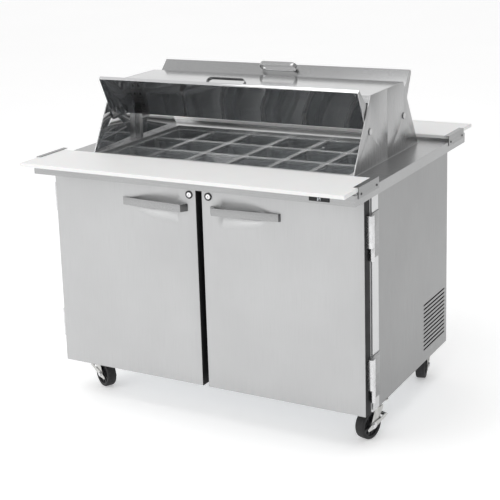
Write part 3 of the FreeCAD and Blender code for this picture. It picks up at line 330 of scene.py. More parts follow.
NODE_MATERIALS = {
    "left_side_panel": "side_steel_painted_shade", "right_side_panel": "side_steel_painted_shade", "back_panel": "galvanised",
    "rear_grille": "galvanised", "base_frame": "galvanised", "front_frame": "frame_steel", "mullion": "black",
    "inner_liner": "liner", "cabinet_insulation": "foam", "wire_shelves": "coated",
    "shelf_supports": "liner", "frame_hinge_parts": "hinge_steel", "worktop_deck": "deck_steel",
    "pan_well": "steel_x", "pan_divider_bars": "steel_x", "food_pans": "pan", "board_brackets": "bracket",
    "screws": "chrome", "display_module": "black", "hood_end_panels": "end_steel", "hood_top": "hood_plate",
    "hood_posts": "steel_z", "caster_plates": "zinc", "condenser_coil": "fins", "evaporator_unit": "fins",
    "compressor": "enamel", "condenser_fan": "black", "evaporator_fan": "black",
    "front_board": "board", "rear_board": "board",
}
for place in ("front", "rear"):
    NODE_MATERIALS[place + "_lid_panel"] = "polished"
    NODE_MATERIALS[place + "_lid_hardware"] = "lid_fitting"
for side, _ in SIDES:
    for piece, material in (("skin", "door_steel"), ("core", "liner"), ("gasket", "gasket"),
                            ("handle", "handle_steel"), ("hinges", "hinge_steel"), ("lock_housing", "black"),
                            ("lock_plug", "chrome")):
        NODE_MATERIALS[side + "_door_" + piece] = material
for corner in CORNERS:
    NODE_MATERIALS[corner + "_fork"] = "zinc"
    NODE_MATERIALS[corner + "_wheel"] = "tyre"
    NODE_MATERIALS[corner + "_brake"] = "zinc"


# ---------------- mesh helpers
def paint(obj, *names):
    if obj.data.materials:
        obj.data.materials.clear()
    for name in names:
        obj.data.materials.append(MATERIALS[name])


def soften(obj, width=EDGE, segments=2):
    """Rounds the sharp edges of a piece and keeps its flat faces flat."""
    weld = obj.modifiers.new("weld", "WELD")
    weld.merge_threshold = WELD
    flat = obj.modifiers.new("flat", "DECIMATE")
    flat.decimate_type = "DISSOLVE"
    flat.angle_limit = FLAT_ANGLE
    bevel = obj.modifiers.new("bevel", "BEVEL")
    bevel.width = width
    bevel.segments = segments
    bevel.limit_method = "ANGLE"
    bevel.angle_limit = SHARP_ANGLE
    bevel.harden_normals = True
    return obj


# ---------------- carried-over nodes
EDGE_WIDTHS = {
    "front_board": 1.2 * MM, "rear_board": 1.2 * MM, "worktop_deck": 1.2 * MM, "hood_end_panels": 0.5 * MM,
}
for name, node in NODES.items():
    paint(node, NODE_MATERIALS[name])
    soften(node, EDGE_WIDTHS.get(name, EDGE))


# ---------------- building pieces
def finish_piece(name, maker, body, materials, replaced=()):
    """Turns a bmesh into a piece that rides on a CAD body and stands for CAD nodes."""
    bmesh.ops.remove_doubles(maker, verts=maker.verts, dist=0.002 * MM)
    bmesh.ops.recalc_face_normals(maker, faces=maker.faces)
    mesh = bpy.data.meshes.new(name)
    maker.to_mesh(mesh)
    maker.free()
    for face in mesh.polygons:
        face.use_smooth = True
    mesh.set_sharp_from_angle(angle=SMOOTH_ANGLE)
    piece = bpy.data.objects.new(name, mesh)
    bpy.context.scene.collection.objects.link(piece)
    paint(piece, *materials)
    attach(piece, body)
    if replaced:
        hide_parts(*replaced)
    return piece


def points_mm(*pairs):
    """Points given in millimetres, as metres."""
    return [(across * MM, along * MM) for across, along in pairs]


def axes_frame(origin, x_axis, z_axis):
    """A matrix whose X and Z lie along the two directions, with its origin at the point."""
    x_axis = Vector(x_axis).normalized()
    z_axis = Vector(z_axis).normalized()
    y_axis = z_axis.cross(x_axis)
    return Matrix.Translation(Vector(origin)) @ Matrix((x_axis, y_axis, z_axis)).transposed().to_4x4()


def raised(place, height):
    """A frame moved along its own Z."""
    return place @ Matrix.Translation((0, 0, height))


def on_edge(place, start):
    """A frame whose XY plane stands upright at a distance along the old Y, and whose Z runs along it."""
    turn = Matrix.Rotation(radians(90), 4, "X") @ Matrix.Scale(-1, 4, (0, 0, 1))
    return place @ Matrix.Translation((0, start, 0)) @ turn


def on_circle(radius, angle, height):
    """A point at a radius and an angle about the Z axis."""
    return Vector((radius * cos(angle), radius * sin(angle), height))


def join_rings(maker, first, second, material=0):
    """Faces between two closed rings of vertices."""
    faces = []
    for index in range(len(first)):
        after = (index + 1) % len(first)
        faces.append(maker.faces.new([first[index], first[after], second[after], second[index]]))
        faces[-1].material_index = material
    return faces


def join_rows(maker, rows):
    """Faces of an open grid given as rows of vertices."""
    for lower, upper in zip(rows, rows[1:]):
        for index in range(len(lower) - 1):
            maker.faces.new([lower[index], lower[index + 1], upper[index + 1], upper[index]])


def rim_of(rows):
    """The vertices round the outside of an open grid."""
    return rows[0] + [row[-1] for row in rows[1:]] + rows[-1][-2::-1] + [row[0] for row in rows[-2:0:-1]]


def lathe(maker, profile, place, steps=48, material=0, closed=False):
    """Turns (radius, height) points about the Z axis of a placed frame."""
    rings = []
    for radius, height in profile:
        if radius == 0:
            rings.append([maker.verts.new(place @ Vector((0, 0, height)))])
            continue
        angles = [2 * pi * step / steps for step in range(steps)]
        rings.append([maker.verts.new(place @ on_circle(radius, angle, height)) for angle in angles])
    pairs = list(zip(rings, rings[1:]))
    if closed:
        pairs.append((rings[-1], rings[0]))
    for low, high in pairs:
        for step in range(steps):
            after = (step + 1) % steps
            corners = [low[step % len(low)], low[after % len(low)]]
            corners += [high[after % len(high)], high[step % len(high)]]
            face = maker.faces.new(list(dict.fromkeys(corners)))
            face.material_index = material


def slab(maker, outline, place, thickness, material=0, bevel=0.0):
    """A flat outline of (x, y) points in a placed frame, made solid along its Z, with eased edges."""
    bottom = [maker.verts.new(place @ Vector((x, y, 0))) for x, y in outline]
    top = [maker.verts.new(place @ Vector((x, y, thickness))) for x, y in outline]
    faces = [maker.faces.new(bottom[::-1]), maker.faces.new(top)] + join_rings(maker, bottom, top)
    for face in faces:
        face.material_index = material
    if bevel:
        bmesh.ops.recalc_face_normals(maker, faces=faces)
        edges = {edge for face in faces[:2] for edge in face.edges}
        bmesh.ops.bevel(maker, geom=list(edges), offset=bevel, segments=2, affect="EDGES", profile=0.6)


def block(maker, low, high, place=Matrix.Identity(4), material=0, bevel=0.0):
    """A box between two corners of a placed frame."""
    outline = [(low[0], low[1]), (high[0], low[1]), (high[0], high[1]), (low[0], high[1])]
    slab(maker, outline, raised(place, low[2]), high[2] - low[2], material, bevel)


def arc(centre, radius, start, end, steps):
    """Points on part of a circle, angles in degrees."""
    points = []
    for step in range(steps + 1):
        angle = radians(start + (end - start) * step / steps)
        points.append((centre[0] + radius * cos(angle), centre[1] + radius * sin(angle)))
    return points


def rounded(width, height, radius, steps=6):
    """A rectangle with round corners about the origin."""
    x = width / 2 - radius
    y = height / 2 - radius
    points = []
    for quarter, (sx, sy) in enumerate([(1, 1), (-1, 1), (-1, -1), (1, -1)]):
        points += arc((sx * x, sy * y), radius, 90 * quarter, 90 * quarter + 90, steps)
    return points


def tube(name, points, radius, body, material):
    """A bent round tube through the points."""
    curve = bpy.data.curves.new(name, "CURVE")
    curve.dimensions = "3D"
    curve.bevel_depth = radius
    curve.bevel_resolution = 4
    curve.use_fill_caps = True
    spline = curve.splines.new("NURBS")
    spline.points.add(len(points) - 1)
    for point, place in zip(spline.points, points):
        point.co = (*place, 1)
    spline.order_u = 3
    spline.use_endpoint_u = True
    piece = bpy.data.objects.new(name, curve)
    bpy.context.scene.collection.objects.link(piece)
    curve.materials.append(MATERIALS[material])
    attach(piece, body)
    return piece


# ---------------- casters
def caster_frames(corner):
    """Frames of one caster: the swivel (X towards the wheel, Z up) and the axle (Z along the axle, X up)."""
    swivel = Vector(JOINTS[corner + "_swivel"]["pos_m"])
    roll = JOINTS[corner + "_roll"]
    axle_at = Vector(roll["pos_m"])
    trail = axle_at - swivel
    trail.z = 0
    swivel.z = 0
    return axes_frame(swivel, trail, (0, 0, 1)), axes_frame(axle_at, (0, 0, 1), roll["axis"])


def wheel(corner):
    """Moulded core with ribs, a softer tread and a bearing cap each side."""
    axle = caster_frames(corner)[1]
    low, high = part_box(corner + "_wheel")
    radius = (high.z - low.z) / 2
    half = 18 * MM
    shoulder = 6 * MM
    rim = 40 * MM
    maker = bmesh.new()
    outer = arc((radius - shoulder, half - shoulder), shoulder, 80, 12, 6)
    crown = outer + [(radius, 0)] + [(r, -h) for r, h in reversed(outer)]
    side = [(rim, half - 1 * MM), (rim + 1.5 * MM, half)]
    lathe(maker, side + crown + [(r, -h) for r, h in reversed(side)], axle, 72, 0)
    web = points_mm((40, 17), (38, 16.5), (36.5, 11), (17, 10), (15, 19), (13.5, 20), (11, 20), (10.5, 18.5),
                    (6.1, 18.5))
    for direction in (1, -1):
        lathe(maker, [(r, h * direction) for r, h in web], axle, 72, 1)
        for rib in range(10):
            turn = axle @ Matrix.Rotation(2 * pi * rib / 10, 4, "Z")
            z = sorted((10 * MM * direction, 13.5 * MM * direction))
            block(maker, (15 * MM, -1.2 * MM, z[0]), (rim - 2.5 * MM, 1.2 * MM, z[1]), turn, 1)
    lathe(maker, points_mm((6.1, -18.5), (6.1, 18.5)), axle, 72, 1)
    finish_piece(corner + "_wheel_tread_and_core", maker, corner + "_wheel", ("tyre", "black"),
                 [corner + "_wheel"])


def hexagon(maker, place, across, height):
    """A nut or bolt head in a bright finish."""
    outline = arc((0, 0), across / sqrt(3), 0, 300, 5)
    slab(maker, outline, place, height, 1, 0.4 * MM)


def fork(corner):
    """Pressed fork: domed crown, two tapered legs with rolled edges, axle bolt and nut."""
    swivel, axle = caster_frames(corner)
    axle_height = axle.translation.z
    trail = (axle.translation.xy - swivel.translation.xy).length
    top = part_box(corner + "_fork")[1].z
    inner = 20.5 * MM
    leg = 3 * MM
    maker = bmesh.new()
    crown = points_mm((5.1, -4), (27, -4), (27.5, -2), (25, 0), (16, 0), (14, -1), (5.1, -1))
    lathe(maker, crown, raised(swivel, top), 48, 0, closed=True)
    eye = 14 * MM
    for direction in (1, -1):
        outline = [(-21 * MM, top - 1 * MM), (-22 * MM, top - 9 * MM)]
        outline += arc((trail, axle_height), eye, 205, 360, 14)
        outline += [(25 * MM, top - 9 * MM), (23 * MM, top - 1 * MM)]
        start = inner if direction > 0 else -inner - leg
        slab(maker, outline, on_edge(swivel, start), leg, 0, 0.8 * MM)
        outer = inner + leg + 3.4 * MM
        head = raised(axle, direction * outer)
        if direction < 0:
            head = head @ Matrix.Rotation(pi, 4, "Y")
        lathe(maker, points_mm((0, 0), (10.5, 0), (10.5, 1), (0, 1.2)), head, 32, 1)
        hexagon(maker, raised(head, 1 * MM), 15 * MM, 3 * MM)
    lathe(maker, [(6 * MM, -outer), (6 * MM, outer)], axle, 32, 1)
    finish_piece(corner + "_pressed_fork", maker, corner + "_fork", ("zinc", "chrome"), [corner + "_fork"])


def brake(corner):
    """Foot lever: two rounded side arms and a curled, ribbed toe plate."""
    swivel, axle = caster_frames(corner)
    tilt = radians(16)
    level = Matrix.Translation(axle.translation) @ swivel.to_3x3().to_4x4() @ Matrix.Rotation(pi, 4, "Z")
    lever = level @ Matrix.Rotation(-tilt, 4, "Y")
    inner = 23.8 * MM
    arm = 2.8 * MM
    maker = bmesh.new()
    for direction in (1, -1):
        outline = arc((0, 0), 12 * MM, 60, 120, 4) + arc((-28 * MM, 0), 6 * MM, 90, 270, 8)
        outline += arc((0, 0), 12 * MM, 240, 300, 4) + [(40 * MM, -7 * MM)]
        outline += arc((70 * MM, 0), 6 * MM, -90, 90, 8) + [(40 * MM, 6 * MM)]
        start = inner if direction > 0 else -inner - arm
        slab(maker, outline, on_edge(lever, start), arm, 0, 0.7 * MM)
    reach = inner + arm
    plate = arc((64 * MM, -6 * MM), 12 * MM, 115, 30, 8)
    shell = plate + [(x - 2 * MM, y - 2.2 * MM) for x, y in reversed(plate)]
    slab(maker, shell, on_edge(lever, -reach), 2 * reach, 0, 0.6 * MM)
    for rib in range(4):
        angle = radians(100 - 18 * rib)
        x, z = arc((64 * MM, -6 * MM), 12.2 * MM, 100 - 18 * rib, 0, 1)[0]
        turn = lever @ Matrix.Translation((x, 0, z)) @ Matrix.Rotation(pi / 2 - angle, 4, "Y")
        block(maker, (-0.8 * MM, -22 * MM, -0.6 * MM), (0.8 * MM, 22 * MM, 0.7 * MM), turn, 1, 0.3 * MM)
    finish_piece(corner + "_foot_lever", maker, corner + "_brake", ("zinc", "black"), [corner + "_brake"])


def caster_plates():
    """Four mounting plates with bolt heads, ball race housings and kingpins."""
    low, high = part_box("caster_plates")
    plate = 3.5 * MM
    maker = bmesh.new()
    for corner in CORNERS:
        swivel = caster_frames(corner)[0]
        base = raised(swivel, high.z - plate)
        slab(maker, rounded(74 * MM, 74 * MM, 8 * MM), base, plate, 0, 0.5 * MM)
        for x, y in points_mm((-28, -28), (-28, 28), (28, -28), (28, 28)):
            bolt = base @ Matrix.Translation((x, y, 0)) @ Matrix.Rotation(pi, 4, "X")
            lathe(maker, points_mm((0, 0.2), (8, 0.2), (8, 1.2), (0, 1.2)), bolt, 24, 1)
            hexagon(maker, raised(bolt, 1 * MM), 12 * MM, 4.5 * MM)
        floor = low.z
        race = points_mm((5, 110.5), (24, 110.5), (26, 113), (26, 118), (21, 124))
        lathe(maker, race + [(19 * MM, high.z - plate)], swivel, 48, 0)
        hexagon(maker, raised(swivel, floor), 17 * MM, 4.8 * MM)
        lathe(maker, [(5 * MM, floor), (5 * MM, high.z - plate)], swivel, 24, 1)
    finish_piece("caster_mounting_plates", maker, "table", ("zinc", "chrome"), ["caster_plates"])


for corner in CORNERS:
    wheel(corner)
    fork(corner)
    brake(corner)
caster_plates()


# ---------------- sheet-metal pieces with two finishes
def refined(node, name, body, materials, pick, width=EDGE):
    """A CAD node with rounded edges, whose faces take the finish that pick(normal, centre) names."""
    maker = bmesh.new()
    maker.from_mesh(NODES[node].data)
    bmesh.ops.remove_doubles(maker, verts=maker.verts, dist=WELD)
    bmesh.ops.dissolve_limit(maker, angle_limit=FLAT_ANGLE, verts=maker.verts, edges=maker.edges)
    sharp = [edge for edge in maker.edges if edge.calc_face_angle(0) > SHARP_ANGLE]
    bmesh.ops.bevel(maker, geom=sharp, offset=width, segments=2, affect="EDGES", profile=0.6,
                    clamp_overlap=True)
    maker.normal_update()
    for face in maker.faces:
        face.material_index = pick(face.normal, face.calc_center_median())
    return finish_piece(name, maker, body, materials, [node])


def lid(place, sign):
    """Open lid: brushed outside, mirror-polished inside."""
    panel = place + "_lid_panel"
    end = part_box(panel)[1].x - 0.3 * MM
    outward = Vector((0, -sign, 1)).normalized()

    def pick(normal, centre):
        return 0 if normal.dot(outward) > 0.5 or abs(normal.x) > 0.5 and abs(centre.x) > end else 1

    refined(panel, place + "_lid_sheet", place + "_lid", ("end_steel", "polished"), pick)


def hood_ends():
    """End panels, brushed outside and polished inside."""
    def pick(normal, centre):
        return 1 if normal.x * centre.x < -0.2 else 0

    refined("hood_end_panels", "hood_end_sheets", "table", ("end_steel", "polished"), pick, 0.4 * MM)


def handle(side):
    """Tapered bar with a satin face; its cut ends take a much darker copy of the same steel, painted shade on
    the faces that look sideways.
    """
    def pick(normal, centre):
        return 1 if abs(normal.x) > 0.5 else 0

    refined(side + "_door_handle", side + "_handle_bar", side + "_door", ("handle_steel", "handle_end"), pick)


def hinge_castings():
    """Knuckles in the bright hinge steel; the leaves take the darker bracket steel as painted shade."""
    frame_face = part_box("front_frame")[0].y
    door_edge = 600.4 * MM

    def on_frame(normal, centre):
        return 1 if centre.y > frame_face else 0

    def on_door(normal, centre):
        return 1 if abs(centre.x) < door_edge else 0

    refined("frame_hinge_parts", "frame_hinge_castings", "table", ("hinge_steel", "bracket"), on_frame)
    for side, _ in SIDES:
        refined(side + "_door_hinges", side + "_door_hinge_castings", side + "_door",
                ("hinge_steel", "bracket"), on_door)


for place, sign in (("front", -1), ("rear", 1)):
    lid(place, sign)
hood_ends()
for side, _ in SIDES:
    handle(side)
hinge_castings()


# ---------------- fasteners and small fittings
def screw_head(maker, place, radius, height):
    """Pan head with a cross recess."""
    steps = 32
    rings = 7
    cross = 0.55
    arm = radius * 0.16
    grid = []
    for ring in range(rings + 1):
        share = ring / rings
        row = []
        for step in range(steps):
            angle = 2 * pi * step / steps
            x = radius * share * cos(angle)
            y = radius * share * sin(angle)
            z = height * sqrt(max(0.0, 1 - 0.8 * share * share)) if ring < rings else 0.0
            inside = min(abs(x), abs(y)) < arm and share < cross
            row.append(maker.verts.new(place @ Vector((x, y, z - (height * 0.6 if inside else 0)))))
        grid.append(row)
    for inner, outer in zip(grid[1:], grid[2:]):
        join_rings(maker, inner, outer)
    maker.faces.new(grid[1])
    for vert in grid[0]:
        maker.verts.remove(vert)


def loose_parts(node):
    """Boxes of the separate solids of a CAD node."""
    maker = bmesh.new()
    maker.from_mesh(NODES[node].data)
    bmesh.ops.remove_doubles(maker, verts=maker.verts, dist=WELD)
    seen = set()
    boxes = []
    for start in maker.verts:
        if start in seen:
            continue
        group = []
        queue = [start]
        seen.add(start)
        while queue:
            vert = queue.pop()
            group.append(vert.co.copy())
            for edge in vert.link_edges:
                other = edge.other_vert(vert)
                if other not in seen:
                    seen.add(other)
                    queue.append(other)
        boxes.append([Vector([end(at[axis] for at in group) for axis in range(3)]) for end in (min, max)])
    maker.free()
    return boxes


def screws():
    """A cross-recess head on every screw of the brackets and of the well rim."""
    maker = bmesh.new()
    for low, high in loose_parts("screws"):
        size = high - low
        middle = (low + high) / 2
        if size.z > size.x:
            outward = Vector((copysign(1, middle.x), 0, 0))
            base = Vector((low.x if middle.x > 0 else high.x, middle.y, middle.z))
            place = axes_frame(base, (0, 0, 1), outward)
            screw_head(maker, place, size.z / 2, size.x)
        else:
            place = Matrix.Translation((middle.x, middle.y, low.z)) @ Matrix.Rotation(middle.x, 4, "Z")
            screw_head(maker, place, size.x / 2, size.z)
    finish_piece("cross_head_screws", maker, "table", ("screw",), ["screws"])


def door_lock(side):
    """Black ring and barrel face, with a bright plug that carries the keyway."""
    low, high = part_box(side + "_door_lock_housing")
    at = Vector(JOINTS[side + "_lock_turn"]["pos_m"])
    at.y = low.y
    face = axes_frame(at, (1, 0, 0), (0, -1, 0))
    depth = high.y - low.y
    ring = points_mm((9.1, -0.6), (9.4, 0), (12.8, 0), (14, -1.2), (14, -3), (11.4, -3.1))
    barrel = [(11.4 * MM, -depth), (0, -depth)]
    maker = bmesh.new()
    lathe(maker, [(9.1 * MM, 3 * MM - depth)] + ring + barrel, face, 64, 0)
    finish_piece(side + "_lock_ring_and_barrel", maker, side + "_door", ("black",),
                 [side + "_door_lock_housing"])
    maker = bmesh.new()
    plug = points_mm((0, -17), (8.95, -17), (8.95, -0.5), (8.5, -0.1), (7.4, -0.1), (7.0, -0.5), (0, -0.5))
    lathe(maker, plug, face, 64, 0)
    keyway = raised(face, -0.6 * MM)
    slab(maker, rounded(1.6 * MM, 7 * MM, 0.7 * MM), keyway, 0.15 * MM, 1)
    finish_piece(side + "_lock_plug_face", maker, side + "_lock", ("chrome", "black"),
                 [side + "_door_lock_plug"])


def display():
    """Bezel, dark window, two seven-segment digits and a row of touch points."""
    low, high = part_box("display_module")
    centre = Vector(((low.x + high.x) / 2, low.y, (low.z + high.z) / 2))
    face = axes_frame(centre, (1, 0, 0), (0, -1, 0))
    width = high.x - low.x
    height = high.z - low.z
    bezel = 1.2 * MM
    body = (width / 2 - 1.5 * MM, height / 2 - 1.5 * MM, -bezel)
    maker = bmesh.new()
    outer = rounded(width, height, 2 * MM)
    slab(maker, outer, raised(face, -bezel), bezel, 0, 0.35 * MM)
    block(maker, (-body[0], -body[1], -14 * MM), body, face)
    lift = Matrix.Translation((0, 0, 0.02 * MM))
    tall = 7.5 * MM
    wide = 4.2 * MM
    stroke = 0.9 * MM
    segments = {"a": (0, 1, 0), "b": (0.5, 0.5, 1), "c": (0.5, -0.5, 1), "d": (0, -1, 0), "g": (0, 0, 0)}
    for index, figure in enumerate(("abgcd", "abc")):
        x = (index - 0.5) * 6.6 * MM - 2 * MM
        for segment in figure:
            sx, sy, upright = segments[segment]
            cx = x + sx * wide
            cy = sy * tall / 2
            u, v = (stroke / 2, tall / 4 - stroke * 0.6) if upright else (wide / 2 - stroke * 0.6, stroke / 2)
            block(maker, (cx - u, cy - v, 0), (cx + u, cy + v, 0.05 * MM), face @ lift, 1)
    for index in range(4):
        point = face @ Matrix.Translation(((15 + index * 4.6) * MM, 0, 0))
        lathe(maker, points_mm((0, 0.04), (0.9, 0.04), (0.9, 0)), point, 16, 2)
    finish_piece("display_face", maker, "table", ("near_black_and_painted_shade", "digits", "screw"), ["display_module"])


def gasket(side):
    """Seal with a dart, two bellows folds and a flat magnet strip, swept round the door."""
    low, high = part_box(side + "_door_gasket")
    width = 18 * MM
    depth = high.y - low.y
    middle = (low + high) / 2
    half = (high - low) / 2
    folds = [(0.2, 0), (0.2, 0.25), (0, 0.35), (0.12, 0.5), (0, 0.65), (0.1, 0.78), (0.06, 0.95), (0.12, 1.0),
             (0.88, 1.0), (0.94, 0.95), (0.9, 0.78), (1, 0.65), (0.88, 0.5), (1, 0.35), (0.8, 0.25), (0.8, 0)]
    maker = bmesh.new()
    loops = []
    for sx, sz in ((1, 1), (-1, 1), (-1, -1), (1, -1)):
        loop = []
        for across, out in folds:
            x = middle.x + sx * (half.x - across * width)
            z = middle.z + sz * (half.z - across * width)
            loop.append(maker.verts.new((x, low.y + out * depth, z)))
        loops.append(loop)
    for first, second in zip(loops, loops[1:] + loops[:1]):
        join_rings(maker, first, second)
    finish_piece(side + "_door_bellows_seal", maker, side + "_door", ("gasket",), [side + "_door_gasket"])


def fine_steps(start, end, fine_start, fine_end, coarse, fine):
    """Grid lines from start to end, closer together over the middle stretch."""
    lines = []
    stretches = ((start, fine_start, coarse), (fine_start, fine_end, fine), (fine_end, end, coarse))
    for low, high, pitch in stretches:
        count = max(1, round((high - low) / pitch))
        lines += [low + (high - low) * step / count for step in range(count)]
    return lines + [end]


def dish_depth(x, z):
    """Depth of the finger dish at a distance from the middle of the cabinet and a height above the handle.

    It is an oval drawn out towards the hinge side, with a slope of even width round a flat floor.
    """
    deepest = 9 * MM
    slope_width = 60 * MM
    half = 66 * MM
    ahead = x - 90 * MM
    reach, power = (193 * MM, 2.0) if ahead > 0 else (30 * MM, 2.2)
    u = max(abs(ahead) / reach, 1e-6)
    v = max(abs(z) / half, 1e-6)
    radius = (u ** power + v ** power) ** (1 / power)
    slope = hypot((u / radius) ** (power - 1) / reach, (v / radius) ** (power - 1) / half)
    share = min(1.0, max(0.0, (1 - radius) / slope / slope_width))
    return deepest * share * share * (3 - 2 * share)


def door_skin(side, sign):
    """Folded door pan: a face with its pressed dish, rounded edges, near-black sides painted as shade in the
    gaps round the door, and a steel return.
    """
    low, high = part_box(side + "_door_skin")
    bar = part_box(side + "_door_handle")
    level = (bar[0].z + bar[1].z) / 2
    round_edge = 1.5 * MM
    inner, outer = sorted((abs(low.x), abs(high.x)))
    fine = 3 * MM
    reach = 70 * MM
    columns = fine_steps(inner + round_edge, outer - round_edge, 56 * MM, 290 * MM, 40 * MM, fine)
    rows = fine_steps(low.z + round_edge, high.z - round_edge, level - reach, level + reach, 60 * MM, fine)
    maker = bmesh.new()
    grid = [[maker.verts.new((sign * x, low.y + dish_depth(x, z - level), z)) for x in columns] for z in rows]
    join_rows(maker, grid)
    border = rim_of(grid)
    near = 0.1 * MM
    painted_shade_end = high.y - 5 * MM
    ease = 0.3 * MM
    sheet = 1.5 * MM
    # The profile step marked 1 colours the door's sides near-black from the rounded front edge to 5 mm short
    # of the back: painted shade in the gaps round the door.
    profile = [(0.44 * MM, low.y + 0.44 * MM, 0), (0, low.y + round_edge, 0), (0, painted_shade_end, 1),
               (0, painted_shade_end + 0.2 * MM, 0), (0, high.y - ease, 0), (ease, high.y, 0), (sheet - ease, high.y, 0),
               (sheet, high.y - ease, 0), (sheet, low.y + 6 * MM, 0)]

    def moved(value, lines, first, last):
        """A coordinate on an end line of the grid goes out to the edge; the others stay."""
        return first if abs(value - lines[0]) < near else last if abs(value - lines[-1]) < near else value

    ring = border
    for inset, y, material in profile:
        following = []
        for vert in border:
            x = moved(abs(vert.co.x), columns, inner + inset, outer - inset)
            z = moved(vert.co.z, rows, low.z + inset, high.z - inset)
            following.append(maker.verts.new((sign * x, y, z)))
        for face in join_rings(maker, ring, following, material):
            # All faces of the side that meets the other door turn near-black: painted shade in the gap
            # between the doors.
            if max(abs(abs(vert.co.x) - inner) for vert in face.verts) < 2 * MM:
                face.material_index = 1
        ring = following
    finish_piece(side + "_door_pressed_pan", maker, side + "_door", ("door_steel", "near_black_and_painted_shade"),
                 [side + "_door_skin"])


screws()
display()
for side, sign in SIDES:
    door_lock(side)
    gasket(side)
    door_skin(side, sign)


# ---------------- refrigeration
def fan(name):
    """Moulded fan: rounded hub and five twisted blades."""
    blades = 5
    low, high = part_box(name)
    centre = Vector(JOINTS[name + "_spin"]["pos_m"])
    centre.y = (low.y + high.y) / 2
    place = axes_frame(centre, (1, 0, 0), (0, -1, 0))
    reach = (high.x - low.x) / 2 * 0.98
    hub = 20 * MM
    half = 10 * MM
    maker = bmesh.new()
    lathe(maker, points_mm((0, 10), (16, 10), (19, 8.8), (20, 6), (20, -10), (0, -10)), place, 48, 0)
    rows = 8
    columns = 5
    for blade in range(blades):
        turn = place @ Matrix.Rotation(2 * pi * blade / blades, 4, "Z")
        fronts = []
        backs = []
        for row in range(rows + 1):
            share = row / rows
            radius = hub * 0.9 + (reach - hub * 0.9) * share
            sweep = radians(16) * share
            chord = (0.9 + 0.5 * sin(share * pi * 0.8)) * hub
            pitch = radians(38 - 16 * share)
            front = []
            back = []
            for step in range(columns + 1):
                along = (step / columns - 0.5) * chord
                camber = 1.6 * MM * sin(pi * step / columns)
                angle = sweep + along * cos(pitch) / radius
                height = max(-half, min(half, along * sin(pitch) + camber))
                for face, offset in ((front, 0.5 * MM), (back, -0.5 * MM)):
                    face.append(maker.verts.new(turn @ on_circle(radius, angle, height + offset)))
            fronts.append(front)
            backs.append(back)
        join_rows(maker, fronts)
        join_rows(maker, backs)
        join_rings(maker, rim_of(fronts), rim_of(backs))
    finish_piece(name + "_moulding", maker, name, ("black",), [name])


def compressor():
    """Two-part welded shell on a pressed base with rubber feet, terminal cover and tube stubs."""
    low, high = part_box("compressor")
    centre = Vector(((low.x + high.x) / 2, (low.y + high.y) / 2, 0))
    floor = low.z
    place = Matrix.Translation(centre)
    radius = 72 * MM
    shell_low = floor + 20 * MM
    top = high.z
    seam = (shell_low + top) / 2 + 8 * MM
    maker = bmesh.new()
    bowl = 26 * MM
    dome = 34 * MM
    profile = [(0, shell_low)] + arc((radius - bowl, shell_low + bowl), bowl, -90, 0, 8)
    profile += [(radius + out * MM, seam + up * MM) for out, up in ((0, -5), (2.5, -3), (2.5, 1), (-1, 3))]
    profile += arc((radius - dome - 1 * MM, top - dome), dome, 0, 90, 10) + [(0, top)]
    lathe(maker, profile, place, 64, 0)
    width = high.x - low.x
    depth = high.y - low.y
    base = raised(place, floor + 14 * MM)
    slab(maker, rounded(width, depth, 24 * MM), base, 5 * MM, 0, 1 * MM)
    for sx in (-1, 1):
        for sy in (-1, 1):
            foot = place @ Matrix.Translation((sx * (width / 2 - 16 * MM), sy * (depth / 2 - 16 * MM), floor))
            lathe(maker, points_mm((0, 0), (13, 0), (14, 3), (10, 7), (14, 11), (12, 14)), foot, 24, 1)
    cover = place @ Matrix.Translation((0, 12 * MM - radius, seam - 30 * MM))
    cover = cover @ Matrix.Rotation(radians(90), 4, "X")
    slab(maker, rounded(56 * MM, 62 * MM, 8 * MM), cover, 20 * MM, 1, 2 * MM)
    finish_piece("compressor_shell", maker, "table", ("enamel", "black"), ["compressor"])
    stub = centre + Vector((radius * 0.9, 10 * MM, seam + 20 * MM))
    route = [(0, 0, 0), (0.05, 0, 0), (0.07, 0, 0.03), (0.07, 0.02, 0.045)]
    tube("suction_tube", [stub + Vector(step) for step in route], 4.8 * MM, "table", "copper")


def louvre_filter():
    """Black dust filter behind the slots of the right side panel: a frame round a woven grid."""
    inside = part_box("right_side_panel")[1].x - 8 * MM
    place = axes_frame((inside, 224 * MM, 262 * MM), (0, 1, 0), (1, 0, 0))
    width = 228 * MM
    height = 196 * MM
    pitch = 6 * MM
    strand = 0.7 * MM
    maker = bmesh.new()
    slab(maker, rounded(width, height, 4 * MM), place, 1 * MM, 0, 0.3 * MM)
    for column in range(38):
        x = (column + 0.5) * pitch - width / 2
        block(maker, (x - strand, -height / 2, 1 * MM), (x + strand, height / 2, 2.2 * MM), place)
    for row in range(32):
        y = (row + 0.5) * pitch - height / 2
        block(maker, (-width / 2, y - strand, 1.2 * MM), (width / 2, y + strand, 2.6 * MM), place)
    finish_piece("louvre_dust_filter", maker, "table", ("near_black_and_painted_shade",))


def apron_painted_shadow():
    """Dark strip that hangs in the corner under each end of the worktop's apron: painted shadow along the
    apron's lower edge.
    """
    low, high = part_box("worktop_deck")
    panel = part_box("left_side_panel")
    root = 600.2 * MM
    edge = high.x - 5.2 * MM
    top = low.z - 0.1 * MM
    points = [(root, low.z - 3 * MM), (edge, low.z - 1.2 * MM), (edge, top), (root, top)]
    maker = bmesh.new()
    for sign in (-1, 1):
        front, back = [[maker.verts.new((sign * x, end.y, z)) for x, z in points] for end in panel]
        join_rings(maker, front, back)
        maker.faces.new(front)
        maker.faces.new(back)
    finish_piece("apron_painted_shadow_strip", maker, "table", ("near_black_and_painted_shade",))


